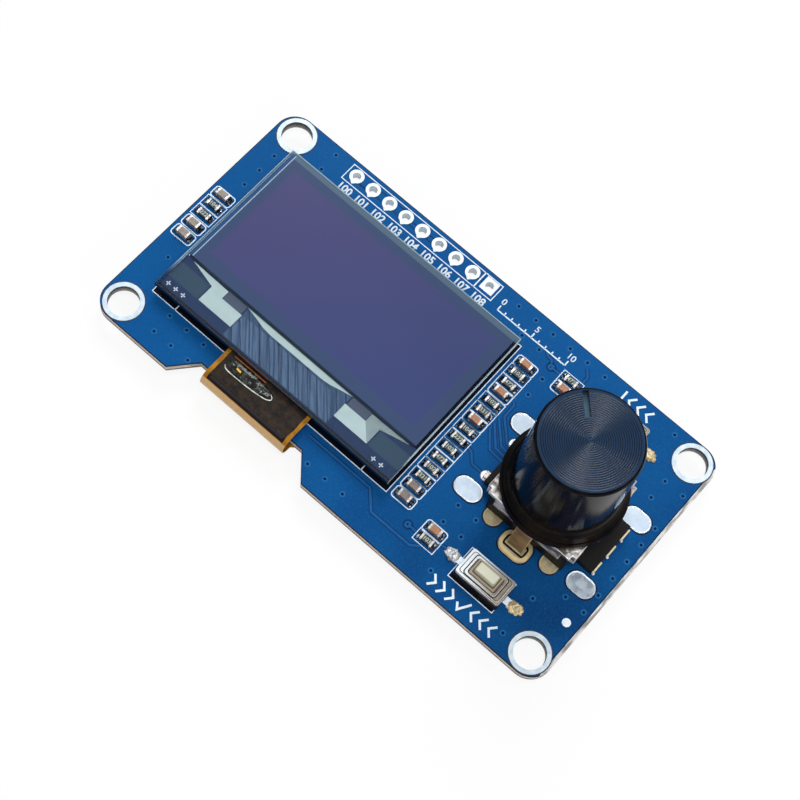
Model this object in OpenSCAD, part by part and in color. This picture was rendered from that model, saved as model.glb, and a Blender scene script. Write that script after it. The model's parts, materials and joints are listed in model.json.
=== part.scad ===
// Display and control module: a glass display panel with a folded tail, a turn-and-push
// encoder with its knob, two push buttons and their small parts on one circuit board.
// Millimetres. Z = 0 is the board's underside, X runs along the board towards the knob and
// Y towards the row of header holes. The origin is the centre of the four mounting holes.

/* [Board] */
// Board length along X
board_l = 65; // [64:0.5:76]
// Board width along Y
board_w = 34; // [33.6:0.2:40]
// Board thickness
board_t = 1.2; // [0.8:0.1:2]
// Radius of the board's corners
corner_r = 2.6; // [0.5:0.1:3]
// From a mounting hole's centre to the board's end
hole_inset_x = 2.75; // [2.5:0.05:3.2]
// From a mounting hole's centre to the board's long edge
hole_inset_y = 2.5; // [2.5:0.05:3]
// Radius of a mounting hole, inside its plating
hole_r = 1.85; // [1.2:0.05:2]
// Outer radius of the plated ring round a mounting hole
ring_r = 2.5; // [2.2:0.05:2.5]
// Thickness of plating and pads
plate_t = 0.05; // [0.03:0.01:0.08]
// Length of the notch's mouth at the board's edge
notch_mouth = 20.1; // [19:0.1:24]
// Length of the notch's floor
notch_floor = 15; // [14.6:0.1:18]
// Depth of the notch
notch_depth = 3; // [2.5:0.1:3.4]

/* [Header row] */
// Number of header holes
header_n = 9; // [4:1:9]
// Header hole pitch
header_pitch = 2.54; // [2:0.01:2.54]
// X of the first header hole
header_x = -21.17; // [-22:0.01:-20]
// From the board's edge to the header holes' centre line
header_inset = 1.6; // [1.4:0.05:1.8]
// Radius of a header hole, inside its plating
header_hole_r = 0.5; // [0.4:0.05:0.6]
// Radius of a header pad
header_pad_r = 0.9; // [0.85:0.05:1.1]

/* [Display] */
// X of the display's centre
disp_x = -10.9; // [-11.5:0.1:-10.5]
// Y of the display's centre
disp_y = 0.4; // [0:0.1:1]
// Length of the front glass
glass_l = 34.5; // [33:0.1:35]
// Width of the front glass, with the ledge that carries the tail
glass_w = 23; // [22.4:0.1:23.6]
// Thickness of each glass
glass_t = 0.7; // [0.5:0.05:1]
// Width of the ledge that the polarizer leaves bare
ledge_w = 5.1; // [4.6:0.1:5.6]
// How far the rear glass and its tape stand back from the front glass's edges
cap_inset = 0.8; // [0.4:0.1:1.5]
// Thickness of the foam tape under the display
foam_t = 0.8; // [0.6:0.1:1.2]
// Thickness of the polarizer
pol_t = 0.2; // [0.1:0.05:0.3]
// Margin of bare glass round the polarizer
pol_margin = 0.45; // [0.2:0.05:1]

/* [Display tail] */
// Width of the tail where it leaves the glass and folds
tail_w = 12.2; // [10:0.1:13]
// Width of the tail's soldered end
tail_end_w = 14.4; // [13.4:0.1:14.6]
// Thickness of the tail
tail_t = 0.12; // [0.08:0.01:0.2]
// Thickness of the electrode film under the ledge
film_t = 0.04; // [0.03:0.01:0.06]
// Clearance between the notch's floor and the tail's fold
tail_gap = 0.3; // [0.1:0.05:0.5]
// Length of the tail's flat end under the board
tail_run = 5.5; // [4.5:0.1:7]
// Number of soldered contacts at the tail's end
tail_n = 20; // [12:1:22]
// Pitch of the tail's contacts
tail_pitch = 0.62; // [0.5:0.01:0.62]

/* [Encoder] */
// X of the encoder's axis
enc_x = 21.1; // [20.9:0.05:21.4]
// Length of the encoder's frame along X
enc_l = 12.1; // [11.6:0.1:12.4]
// Width of the encoder's frame along Y
enc_w = 11.8; // [11.4:0.1:12]
// Top of the encoder's frame above the board
enc_h = 6.5; // [6.4:0.1:7]
// Sheet thickness of the frame
frame_t = 0.6; // [0.5:0.05:0.7]
// Standoff between the board and the encoder's housing
enc_seat = 0.2; // [0.15:0.05:0.3]
// Radius of the threaded bushing
bush_r = 3.5; // [3.3:0.05:3.8]
// Length of the bushing above the frame
bush_l = 7; // [5:0.5:7]
// Radius of the shaft
shaft_r = 3; // [2.8:0.05:3]
// Running clearance of the shaft in the bushing, on the radius
shaft_gap = 0.04; // [0.02:0.01:0.08]
// Travel of the knob when it is pushed
push_travel = 0.5; // [0.3:0.1:0.5]
// Number of detents in a turn
detent_n = 20; // [12:4:24]
// Length of a terminal leg below the board
leg_drop = 1.6; // [1:0.1:2.2]

/* [Knob] */
// Top of the knob above the board
knob_top = 21.4; // [20.6:0.1:23]
// Clearance left over the frame when the knob is pushed home
skirt_gap = 0.05; // [0.03:0.01:0.3]
// Radius of the skirt
skirt_r = 7.1; // [6.6:0.1:7.4]
// Radius of the knob's side at the top
knob_r = 5.75; // [5.6:0.05:6]
// Wall of the knob's moulding
knob_wall = 1.1; // [0.9:0.05:1.3]
// Number of turned rings on the knob's top
ring_n = 21; // [8:1:24]
// Depth of a turned ring
ring_depth = 0.05; // [0.02:0.01:0.08]
// Width of the pointer slot
slot_w = 0.65; // [0.4:0.05:1]
// Depth of the pointer slot
slot_d = 0.45; // [0.2:0.05:0.6]
// Direction of the pointer slot, in degrees from X
slot_dir = 135; // [0:5:355]

/* [Push buttons] */
// X of both push buttons
key_x = 21.0; // [20.8:0.05:21.2]
// From each push button's centre to the board's long edge
key_inset = 5.15; // [5:0.05:5.3]
// Length of a push button's housing
key_l = 6; // [5.6:0.1:6.2]
// Width of a push button's housing
key_w = 3.5; // [3.3:0.05:3.6]
// Top of a push button's steel cover above the board
key_cover_z = 2; // [1.9:0.05:2.2]
// Top of a button above the board
key_top = 3.3; // [3:0.1:4]
// Travel of a button
key_travel = 0.25; // [0.15:0.05:0.25]
// Length of a button's cap
cap_l = 2.7; // [2.4:0.1:3]
// Width of a button's cap
cap_w = 1.3; // [1:0.1:1.5]

/* [Chip parts] */
// Length of a chip part
chip_l = 1.6; // [1.4:0.05:1.7]
// Width of a chip part
chip_w = 0.8; // [0.6:0.05:0.85]
// Height of a chip resistor
res_h = 0.45; // [0.35:0.05:0.55]
// Height of a chip capacitor
capa_h = 0.8; // [0.5:0.05:0.9]
// Length of a chip part's metal end
chip_end = 0.32; // [0.2:0.02:0.4]
// X of the long column of chip parts
col_x = 8.5; // [8.4:0.05:8.6]
// X of the short column at the board's end
end_col_x = -30.6; // [-30.7:0.05:-30.5]
// X of the pairs beside the push buttons
pair_x = 13.5; // [13.4:0.05:13.6]
// Pitch of the chip parts in a pair
pair_pitch = 1.4; // [1.3:0.05:1.5]

/* [Hidden] */
$fn = 48;
eps = 0.01;

// kind and place of each chip part along its column: [y, true for a capacitor]
column = [
    [10.6, true], [9.1, false], [7.5, false], [6.1, true], [4.5, false],
    [3.0, false], [1.6, true], [0.1, false], [-1.35, false], [-2.9, false],
    [-4.5, false], [-6.0, false], [-7.45, false], [-8.95, true], [-10.5, true]
];
end_column = [[2.7, true], [1.1, false], [-0.5, false], [-2.2, true], [-3.9, true]];
key_y = board_w / 2 - key_inset;
pair_y = key_y + 0.05;                 // middle of a pair, beside its push button
pair = [[pair_y - pair_pitch / 2, true], [pair_y + pair_pitch / 2, false]];
chips = concat(
    [for (c = column) [col_x, c[0], c[1]]],
    [for (c = end_column) [end_col_x, c[0], c[1]]],
    [for (s = [-1, 1]) for (c = pair) [pair_x, s * c[0], c[1]]]
);
chip_names = [for (i = [0 : len(chips) - 1])
    str(chips[i][2] ? "capacitor_" : "resistor_", i < 9 ? "0" : "", i + 1)];

// ---- derived sizes -------------------------------------------------------------------
pad_t = plate_t;                       // pads lie this much proud of the board
solder_t = 0.12;                       // height of a flat pool of solder
hole_dx = board_l - 2 * hole_inset_x;  // spacing of the mounting holes
hole_dy = board_w - 2 * hole_inset_y;
header_y = board_w / 2 - header_inset;
drill_r = hole_r + plate_t;            // drilled radius of a mounting hole
header_drill_r = header_hole_r + plate_t;
pin9_x = header_x + (header_n - 1) * header_pitch;

notch_y = -board_w / 2 + notch_depth;  // the notch's floor

foam_z = board_t;
rear_z = foam_z + foam_t;
front_z = rear_z + glass_t;            // underside of the front glass
pol_z = front_z + glass_t;
glass_y0 = disp_y - glass_w / 2;       // edge of the ledge
ledge_y = glass_y0 + ledge_w;          // where the polarizer ends

tail_top = front_z - film_t;           // upper face of the tail, under the film
fold_r = (tail_top + pad_t + tail_t) / 2;  // outer radius of the fold
fold_z = tail_top - fold_r;
fold_y = notch_y - tail_gap;
bond_w = 1.2;                          // the tail's bonded edge under the ledge
driver_size = [9, 1.2, 0.4];           // chip bonded under the tail
tail_end_y = fold_y + tail_run;
tail_pad_l = 1.6;
tail_pad_w = tail_pitch * 0.6;

// solder-filled slots beside the encoder: [x, y, length along X, length along Y]
wide_slot = [3.5, 2.4];
near_slot = [2.2, 2.6];
slot_places = concat(
    [for (sx = [-1, 1]) for (sy = [-1, 1]) [enc_x + sx * 8.05, sy * 5, wide_slot]],
    [for (sx = [-1, 1]) for (sy = [-1, 1]) [enc_x + sx * 4, sy * 5.35, near_slot]]
);

// encoder, heights above the board's underside
z_frame = board_t + enc_h;             // top of the frame's plate
z_house = z_frame - frame_t - 1.05;    // top of the housing, under the bushing's flange
z_flange = z_frame - frame_t;          // top of the bushing's flange
z_floor = board_t + 1.9;               // floor of the rotor's chamber
z_pocket = board_t + 0.9;              // floor of the dome's pocket
house_gap = 0.05;                      // housing and flange inside the frame
house_l = enc_l - 2 * (frame_t + house_gap);
house_w = enc_w - 2 * (frame_t + house_gap);
chamber_r = 4.9;
shelf_x = enc_l / 2 + 2.05;            // outer face of the terminal shelf, from the axis
shelf_w = 6.8;
switch_shelf_x = enc_l / 2 + 1.15;     // outer face of the switch terminals' block
shelf_h = 1.3;
rotor_r = chamber_r - 0.15;
rotor_z0 = z_floor + 0.3;
rotor_z1 = rotor_z0 + 0.9;
dome_h = push_travel + 0.1;
shank_r = 1.9;                         // the shaft's lower end, with two flats
shank_flat = 1.3;
key_gap = 0.06;                        // sliding clearance of the shank in the rotor
z_tip = z_pocket + dome_h + 0.02;
clip_t = 0.4;
z_groove = z_house - 0.02;             // top of the retaining clip's groove
groove_r = 2.2;
leg_w = 0.9;                           // width of a terminal's leg
leg_t = 0.3;
blade_w = 1.7;                         // width of a signal terminal's blade
blade_lap = 0.3;                       // how far a switch blade reaches under the dome
wiper_w = 0.6;
wiper_gap = 0.05;                      // under the rotor
wiper_inset = 1.15;                    // from the chamber's wall
slot_gap = 0.02;                       // round a terminal in its slot
dome_r = 2.5;
pocket_r = dome_r + 0.2;
signal_x = enc_x + 7.4;                // legs of the three signal terminals
blade_out = 0.2;                       // how far their blades stand out of the shelf
switch_x = enc_x - 7.6;                // legs of the two switch terminals
signal_pitch = 2.5;
switch_pitch = 5;
terminal_z = board_t + enc_seat + 0.15;
lug_w = 2.1;
lug_t = frame_t;
lug_y = enc_w / 2 + 0.85;              // outer face of a lug in its slot
lug_pad = [3.9, 2.9];
lug_pad_y = enc_w / 2 + 0.6;

// knob, heights above the board's underside
k_top = board_t + knob_top;
k_skirt = z_frame + push_travel + skirt_gap;
k_shoulder = k_skirt + 2.1;            // where the skirt meets the side
k_side_r = knob_r + 0.3;               // radius of the side above the skirt
shaft_top = k_top - 1.4;
hub_r = shaft_r + 1.2;
hub_z = z_frame + bush_l + push_travel + 0.3;
flat_x = shaft_r / 2;                  // the shaft's flat, from its axis
flat_z = z_frame + bush_l + 1.2;

// push buttons, heights above the board's top
key_base_h = 1.2;
key_sheet = 0.25;
key_window = [cap_l + 1.05, cap_w + 0.75];
key_plinth = [key_window[0] - 0.14, key_window[1] - 0.14];
key_rim = 0.26;                        // width and height of the raised rim round the window
key_rim_h = 0.2;
key_flange = [key_window[0] + 0.5, key_window[1] + 0.35];
key_flange_z = key_cover_z - key_sheet - 0.05;  // top of the flange that the cover stops
key_flange_t = key_flange_z - key_base_h - key_travel - 0.03;
key_dome_z = 0.75;
key_dome_h = 0.4;
key_dome_r = 1.15;
lead_w = 0.9;
lead_out = 1.5;

// ---- shared shapes -------------------------------------------------------------------
// rectangle with true round corners, centred
module round_rect(l, w, r) {
    square([l - 2 * r, w], center = true);
    square([l, w - 2 * r], center = true);
    for (x = [-1, 1]) for (y = [-1, 1])
        translate([x * (l / 2 - r), y * (w / 2 - r)]) circle(r);
}

// slot with half-round ends along its longer side, centred
module slot2d(l, w) {
    d = min(l, w);
    square([l > w ? l - d : l, l > w ? w : w - d], center = true);
    for (s = [-1, 1])
        translate([l > w ? s * (l - d) / 2 : 0, l > w ? 0 : s * (w - d) / 2]) circle(d / 2);
}

// centred block that stands on z0
module block(l, w, h, z0 = 0) {
    translate([0, 0, z0 + h / 2]) cube([l, w, h], center = true);
}

// plated sleeve with a flat ring on both faces of the board
module plated_sleeve(r_in, r_pad) {
    difference() {
        union() {
            translate([0, 0, -pad_t]) cylinder(r = r_pad, h = pad_t);
            translate([0, 0, board_t]) cylinder(r = r_pad, h = pad_t);
            translate([0, 0, -pad_t]) cylinder(r = r_in + plate_t, h = board_t + 2 * pad_t);
        }
        translate([0, 0, -1]) cylinder(r = r_in, h = board_t + 2);
    }
}

module at_holes() {
    for (x = [-1, 1]) for (y = [-1, 1])
        translate([x * hole_dx / 2, y * hole_dy / 2, 0]) children();
}

module at_header() {
    for (i = [0 : header_n - 1])
        translate([header_x + i * header_pitch, header_y, 0]) children();
}

// a cap of a sphere: base radius r, rise h, standing on z = 0
module cap_solid(r, h) {
    big = (r * r + h * h) / (2 * h);
    intersection() {
        translate([0, 0, h - big]) sphere(big, $fn = 96);
        cylinder(r = r + eps, h = h + 1);
    }
}

// thin snap dome with a wall of t
module snap_dome(r, h, t) {
    difference() {
        cap_solid(r, h);
        translate([0, 0, -eps]) cap_solid(r - 2 * t, h - t);
    }
}

// ---- board ---------------------------------------------------------------------------
module notch2d() {
    translate([disp_x, 0]) polygon([
        [-notch_mouth / 2, -board_w / 2 - 1], [-notch_mouth / 2, -board_w / 2],
        [-notch_floor / 2, notch_y], [notch_floor / 2, notch_y],
        [notch_mouth / 2, -board_w / 2], [notch_mouth / 2, -board_w / 2 - 1]
    ]);
}

module circuit_board() {
    color("#1e5c96") difference() {
        linear_extrude(board_t) difference() {
            round_rect(board_l, board_w, corner_r);
            notch2d();
            for (x = [-1, 1]) for (y = [-1, 1])
                translate([x * hole_dx / 2, y * hole_dy / 2]) circle(drill_r);
            for (i = [0 : header_n - 1])
                translate([header_x + i * header_pitch, header_y]) circle(header_drill_r);
        }
        translate([0, 0, -1]) linear_extrude(board_t + 2) {
            for (s = slot_places)
                translate([s[0], s[1]]) slot2d(s[2][0] - 0.8, s[2][1] - 0.8);
            for (s = [-1, 1])
                translate([enc_x, s * (lug_y - lug_t / 2)]) square([lug_w + 0.4, lug_t + 0.4], center = true);
            for (i = [-1, 0, 1])
                translate([signal_x, i * signal_pitch]) circle(0.6);
            for (s = [-1, 1])
                translate([switch_x, s * switch_pitch / 2]) circle(0.6);
        }
    }
}

module mounting_rings() {
    color("#e1ebf5") at_holes() plated_sleeve(hole_r, ring_r);
}

module header_pads() {
    color("#e1ebf5") {
        at_header() plated_sleeve(header_hole_r, header_pad_r);
        // the last pad is square
        difference() {
            for (z = [-pad_t, board_t])
                translate([pin9_x, header_y, 0]) block(2 * header_pad_r, 2 * header_pad_r, pad_t, z);
            translate([pin9_x, header_y, -1]) cylinder(r = header_hole_r, h = board_t + 2);
        }
    }
}

// solder that fills a slot and lies flat on both faces
module filled_slot(size) {
    translate([0, 0, board_t]) linear_extrude(solder_t) slot2d(size[0], size[1]);
    translate([0, 0, -solder_t]) linear_extrude(solder_t) slot2d(size[0], size[1]);
    translate([0, 0, -solder_t])
        linear_extrude(board_t + 2 * solder_t) slot2d(size[0] - 0.8, size[1] - 0.8);
}

// solder cone round a leg under the board, with a narrow ring on the upper face
module leg_joint(r) {
    translate([0, 0, -0.9]) cylinder(r1 = 0.55, r2 = r, h = 0.9);
    translate([0, 0, -eps]) cylinder(r = 0.6, h = board_t + 2 * eps);
    translate([0, 0, board_t]) cylinder(r1 = 0.66, r2 = 0.56, h = solder_t);
}

module slot_solder() {
    color("#d7e1ee") difference() {
        union() {
            for (s = slot_places) translate([s[0], s[1], 0]) filled_slot(s[2]);
            for (s = [-1, 1]) translate([enc_x, s * lug_pad_y, 0]) {
                translate([0, 0, board_t]) linear_extrude(solder_t)
                    round_rect(lug_pad[0], lug_pad[1], 1.2);
                translate([0, 0, -0.35]) linear_extrude(0.35)
                    round_rect(lug_pad[0] - 0.4, lug_pad[1] - 0.4, 1);
                translate([0, s * (lug_y - lug_t / 2 - lug_pad_y), 0])
                    block(lug_w + 0.4, lug_t + 0.4, board_t + 2 * eps, -eps);
            }
            for (i = [-1, 0, 1]) translate([signal_x, i * signal_pitch, 0]) leg_joint(0.95);
            for (s = [-1, 1]) translate([switch_x, s * switch_pitch / 2, 0]) leg_joint(0.95);
        }
        frame_lugs();
        signal_shape();
        switch_shape();
    }
}

// ---- chip parts ----------------------------------------------------------------------
// one chip part: ceramic body with a wrapped metal end at each side, on the pads
module chip_part(c) {
    h = c[2] ? capa_h : res_h;
    wrap = 0.02;
    translate([c[0], c[1], board_t + pad_t]) {
        block(chip_l - 2 * chip_end + eps, chip_w - 2 * wrap, h - 2 * wrap, wrap);
        for (s = [-1, 1]) translate([s * (chip_l - chip_end) / 2, 0, 0])
            block(chip_end, chip_w, h);
    }
}

module chip_node(i) {
    color(chips[i][2] ? "#a8805f" : "#1b1c1e") chip_part(chips[i]);
}

// pad and fillet of solder at each end of a chip part
module chip_solder(c) {
    run = 0.42;
    rise = (c[2] ? capa_h : res_h) * 0.62;
    for (s = [0, 1]) translate([c[0], c[1], board_t]) mirror([s, 0, 0])
        translate([chip_l / 2, 0, 0]) {
            translate([0, chip_w * 0.55, 0]) rotate([90, 0, 0]) linear_extrude(chip_w * 1.1)
                polygon([
                    [-chip_end, 0], [run, 0], [run, pad_t], [run * 0.45, pad_t + rise * 0.25],
                    [run * 0.12, pad_t + rise * 0.7], [0, pad_t + rise], [0, pad_t], [-chip_end, pad_t]
                ]);
        }
}

// rounded heap of solder over the foot of a button's lead
module lead_solder() {
    difference() {
        translate([0, 0, board_t]) intersection() {
            translate([0, 0, -0.62]) sphere(1.02, $fn = 64);
            block(3, 1.2, 1);
        }
        key_lead_shape(true);
    }
}

module smd_solder() {
    color("#dfe7ee") {
        for (c = chips) chip_solder(c);
        for (sy = [-1, 1]) for (s = [0, 1]) translate([key_x, sy * key_y, 0])
            mirror([s, 0, 0]) translate([key_l / 2 + lead_out - 0.35, 0, 0])
                lead_solder();
        // the tail's contacts, soldered face to face under the board
        for (i = [0 : tail_n - 1])
            translate([disp_x + (i - (tail_n - 1) / 2) * tail_pitch, tail_end_y - tail_pad_l / 2 + 0.5, 0])
                block(tail_pad_w, tail_pad_l + 1, pad_t, -pad_t);
    }
}

// ---- display -------------------------------------------------------------------------
// a sheet of the display: inset from the glass's sides and top, from y0 upwards
module display_sheet(inset, y0, t, z) {
    y1 = disp_y + glass_w / 2 - inset;
    translate([disp_x, (y0 + y1) / 2, 0]) block(glass_l - 2 * inset, y1 - y0, t, z);
}

module foam_tape() {
    color("#e8e8e2") display_sheet(cap_inset + 0.6, ledge_y + 0.6, foam_t, foam_z);
}

module rear_glass() {
    color("#3a4450") display_sheet(cap_inset, ledge_y, glass_t, rear_z);
}

module front_glass() {
    color("#50507f") display_sheet(0, glass_y0, glass_t, front_z);
}

module polarizer() {
    color("#52527c") display_sheet(pol_margin, ledge_y + 0.05, pol_t, pol_z);
}

// electrodes under the ledge: two stepped end contacts, a long bar and the slanted tracks;
// x runs out from the display's middle and y down from the polarizer's edge
contact_in = 7.7;                      // inner end of a contact's foot
contact_riser = [10.7, 12.5];          // sides of its riser
contact_tip = 16.1;                    // tip of its wedge
contact_step = 1.2;                    // from the polarizer to the top of the foot
contact_depth = 3.1;                   // from the polarizer to the foot's lower edge
bar_half = 7.8;                        // half of the long bar
bar_depth = 0.8;
bar_curve = [[1, 0.05], [0.82, 0.42], [0.64, 0.85], [0.5, 1]];
track_n = 14;
track_pitch = 1.06;
track_w = 0.78;
track_lean = 0.85;                     // how far a track leans for each millimetre down
track_z = [1.1, 4.3];                  // where the tracks start and end, below the polarizer

module electrode_film() {
    color("#bed7d7") translate([disp_x, ledge_y, front_z - film_t]) linear_extrude(film_t) {
        for (s = [0, 1]) mirror([s, 0]) polygon([
            [contact_in, -contact_step], [contact_riser[0], -contact_step],
            [contact_riser[0], -0.1], [contact_tip, 0], [contact_riser[1], -0.9],
            [contact_riser[1], -contact_depth], [contact_in, -contact_depth]
        ]);
        polygon(concat([[bar_half, 0]],
            [for (c = bar_curve) [c[0] * bar_half, -c[1] * bar_depth]],
            [for (i = [3 : -1 : 0]) [-bar_curve[i][0] * bar_half, -bar_curve[i][1] * bar_depth]],
            [[-bar_half, 0]]));
        intersection() {
            translate([-contact_in + 0.2, -track_z[1]])
                square([2 * contact_in - 0.4, track_z[1] - track_z[0]]);
            for (i = [0 : track_n - 1]) {
                x = (i - track_n / 2) * track_pitch - 0.3;
                lean = track_lean * (track_z[1] - track_z[0]);
                polygon([[x - lean / 2, -track_z[0]], [x - lean / 2 + track_w, -track_z[0]],
                    [x + lean / 2 + track_w, -track_z[1]], [x + lean / 2, -track_z[1]]]);
            }
        }
    }
}

// the tail: bonded edge, flat run over the notch, fold and wider soldered end
module flex_tail() {
    x0 = disp_x - tail_w / 2;
    flare = (tail_end_w - tail_w) / 2;
    color("#be7d14") {
        translate([x0, 0, 0]) rotate([90, 0, 90]) linear_extrude(tail_w) {
            translate([fold_y, tail_top - tail_t]) square([glass_y0 + bond_w - fold_y, tail_t]);
            translate([fold_y, tail_top - 2 * fold_r])
                square([tail_end_y - fold_y, tail_t]);
            difference() {
                translate([fold_y, fold_z]) circle(fold_r);
                translate([fold_y, fold_z]) circle(fold_r - tail_t);
                translate([fold_y, fold_z - 2 * fold_r]) square(4 * fold_r);
            }
        }
        translate([disp_x, 0, tail_top - 2 * fold_r]) linear_extrude(tail_t) polygon([
            [-tail_w / 2, fold_y], [-tail_w / 2 - flare, fold_y + 0.9],
            [-tail_w / 2 - flare, tail_end_y], [tail_w / 2 + flare, tail_end_y],
            [tail_w / 2 + flare, fold_y + 0.9], [tail_w / 2, fold_y]
        ]);
    }
}

module driver_chip() {
    color("#23262b") translate([disp_x, (fold_y + glass_y0) / 2, 0])
        block(driver_size[0], driver_size[1], driver_size[2], tail_top - tail_t - driver_size[2]);
}

// bead of clear resin in the corner between the tail and the glass's edge
module edge_resin() {
    l = tail_w / 2;
    color("#39362c") intersection() {
        translate([disp_x - tail_w / 2 + 0.4, glass_y0, tail_top]) rotate([0, 90, 0])
            cylinder(r1 = 1.25, r2 = 0.35, h = l);
        translate([disp_x - tail_w / 2, glass_y0 - 3, tail_top]) cube([tail_w, 3, 0.55]);
    }
}

// ---- encoder -------------------------------------------------------------------------
// the two lugs of the frame, bent out and down through the board
module frame_lugs() {
    z_bend = board_t + 4;
    for (s = [0, 1]) translate([enc_x, 0, 0]) mirror([0, s, 0])
        translate([-lug_w / 2, 0, 0]) rotate([90, 0, 90]) linear_extrude(lug_w) polygon([
            [-enc_w / 2, z_bend], [-enc_w / 2 + lug_t, z_bend],
            [-lug_y + lug_t, board_t + 1.4], [-lug_y + lug_t, -leg_drop + 0.3],
            [-lug_y + lug_t * 0.75, -leg_drop], [-lug_y + lug_t * 0.25, -leg_drop],
            [-lug_y, -leg_drop + 0.3], [-lug_y, board_t + 1.4]
        ]);
}

module encoder_frame() {
    wall_l = 9;
    claw_w = 1.4;
    color("#b9bcbf") {
        difference() {
            translate([enc_x, 0, 0]) linear_extrude(z_frame) difference() {
                square([enc_l, enc_w], center = true);
                // corners relieved for the folds
                for (x = [-1, 1]) for (y = [-1, 1])
                    translate([x * enc_l / 2, y * enc_w / 2]) square([1.0, 1.2], center = true);
            }
            // below the plate only the folded walls and claws stay
            translate([enc_x, 0, 0]) {
                block(enc_l + 1, enc_w + 1, board_t + 4);
                block(enc_l - 2 * frame_t, enc_w - 2 * frame_t, z_flange - board_t, board_t);
                for (s = [-1, 1]) {
                    // claws at the ends: clear the middle and the corners
                    translate([s * enc_l / 2, 0, 0])
                        block(2.5 * frame_t, enc_w - 2 * claw_w - 2, z_flange);
                    for (t = [-1, 1]) translate([t * (wall_l / 2 + 2), s * enc_w / 2, 0])
                        block(4, 2.5 * frame_t, z_flange);
                }
            }
            translate([enc_x, 0, 0]) cylinder(r = bush_r + 0.05, h = z_frame + 1);
        }
        frame_lugs();
    }
}

module encoder_housing() {
    color("#1c1c1e") difference() {
        translate([enc_x, 0, 0]) union() {
            block(house_l, house_w, z_house - board_t - enc_seat, board_t + enc_seat);
            // shelf that carries the signal terminals
            translate([(house_l / 2 + shelf_x) / 2 - 0.5, 0, 0])
                block(shelf_x - house_l / 2 + 1, shelf_w, shelf_h, board_t + enc_seat);
            // small feet on the board
            for (x = [-1, 1]) for (y = [-1, 1]) translate([x * 1.6, y * 3.2, board_t])
                cylinder(r = 0.5, h = enc_seat + eps);
            // block that carries the switch terminals
            translate([-(house_l / 2 + switch_shelf_x) / 2 + 0.5, 0, 0])
                block(switch_shelf_x - house_l / 2 + 1, switch_pitch + 1.8, shelf_h,
                    board_t + enc_seat);
        }
        translate([enc_x, 0, z_floor]) cylinder(r = chamber_r, h = 10);
        translate([enc_x, 0, z_pocket]) cylinder(r = pocket_r, h = 10);
        signal_shape(slot_gap);
        switch_shape(slot_gap);
    }
}

// three signal terminals: blade in the floor, wiper up to the rotor, leg through the board;
// g grows them for their slots in the housing
module signal_shape(g = 0) {
    wiper_x = chamber_r - wiper_inset;
    reach = shelf_x + blade_out - leg_t / 2 - wiper_x;
    for (i = [-1, 0, 1]) translate([enc_x, i * signal_pitch, 0]) {
        translate([wiper_x + reach / 2, 0, 0])
            block(reach + leg_t + 2 * g, blade_w + 2 * g, leg_t + 2 * g, terminal_z - g);
        translate([wiper_x, 0, 0])
            block(leg_t + 2 * g, wiper_w + 2 * g, rotor_z0 - wiper_gap - terminal_z + g, terminal_z);
        translate([signal_x - enc_x, 0, 0])
            block(leg_t + 2 * g, leg_w + 2 * g, terminal_z + leg_t + leg_drop + g, -leg_drop);
    }
}

// two switch terminals: blade to the dome's pocket and leg through the board
module switch_shape(g = 0) {
    reach = enc_x - dome_r + blade_lap - switch_x;
    for (s = [-1, 1]) translate([switch_x, s * switch_pitch / 2, 0]) {
        translate([reach / 2, 0, 0])
            block(reach + leg_t + 2 * g, leg_w + 2 * g, leg_t + 2 * g, terminal_z - g);
        block(leg_t + 2 * g, leg_w + 2 * g, terminal_z + leg_t + leg_drop + g, -leg_drop);
    }
}

module signal_terminals() {
    color("#d9b56a") signal_shape();
}

module switch_terminals() {
    color("#d9d4c4") switch_shape();
}

module encoder_bushing() {
    color("#c4c6c8") translate([enc_x, 0, 0]) difference() {
        union() {
            block(house_l, house_w, z_flange - z_house, z_house);
            cylinder(r = bush_r, h = z_frame + bush_l - 0.4);
            translate([0, 0, z_frame + bush_l - 0.4])
                cylinder(r1 = bush_r, r2 = bush_r - 0.4, h = 0.4);
        }
        translate([0, 0, -1]) cylinder(r = shaft_r + shaft_gap, h = 40);
        translate([0, 0, -1]) block(20, 20, z_house + 1);
    }
}

// round shaft with a flat at the top; its lower end has two flats that turn the rotor
module encoder_shaft() {
    color("#cfd2d5") translate([enc_x, 0, 0]) {
        difference() {
            union() {
                translate([0, 0, z_groove]) cylinder(r = shaft_r, h = shaft_top - 0.5 - z_groove);
                translate([0, 0, shaft_top - 0.5]) cylinder(r1 = shaft_r, r2 = shaft_r - 0.5, h = 0.5);
                translate([0, 0, z_groove - clip_t - 0.06]) cylinder(r = groove_r, h = clip_t + 0.06 + eps);
                intersection() {
                    translate([0, 0, z_tip]) cylinder(r = shank_r, h = z_groove - clip_t - z_tip);
                    block(2 * shank_r + 1, 2 * shank_flat, 30);
                }
            }
            // the flat that keys the knob
            translate([flat_x + 5, 0, flat_z + 15]) cube([10, 20, 30], center = true);
        }
        // shoulder that keeps the clip in its groove
        intersection() {
            translate([0, 0, z_groove - clip_t - 0.26]) cylinder(r = groove_r + 0.2, h = 0.2);
            block(20, 2 * groove_r + 0.4, 40);
        }
    }
}

module retaining_clip() {
    color("#8f9499") translate([enc_x, 0, z_groove - clip_t - 0.03]) difference() {
        cylinder(r = groove_r + 1.2, h = clip_t);
        translate([0, 0, -1]) cylinder(r = groove_r + 0.02, h = 3);
        translate([-4, 0, 0]) cube([8, 2.6, 3], center = true);
    }
}

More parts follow.
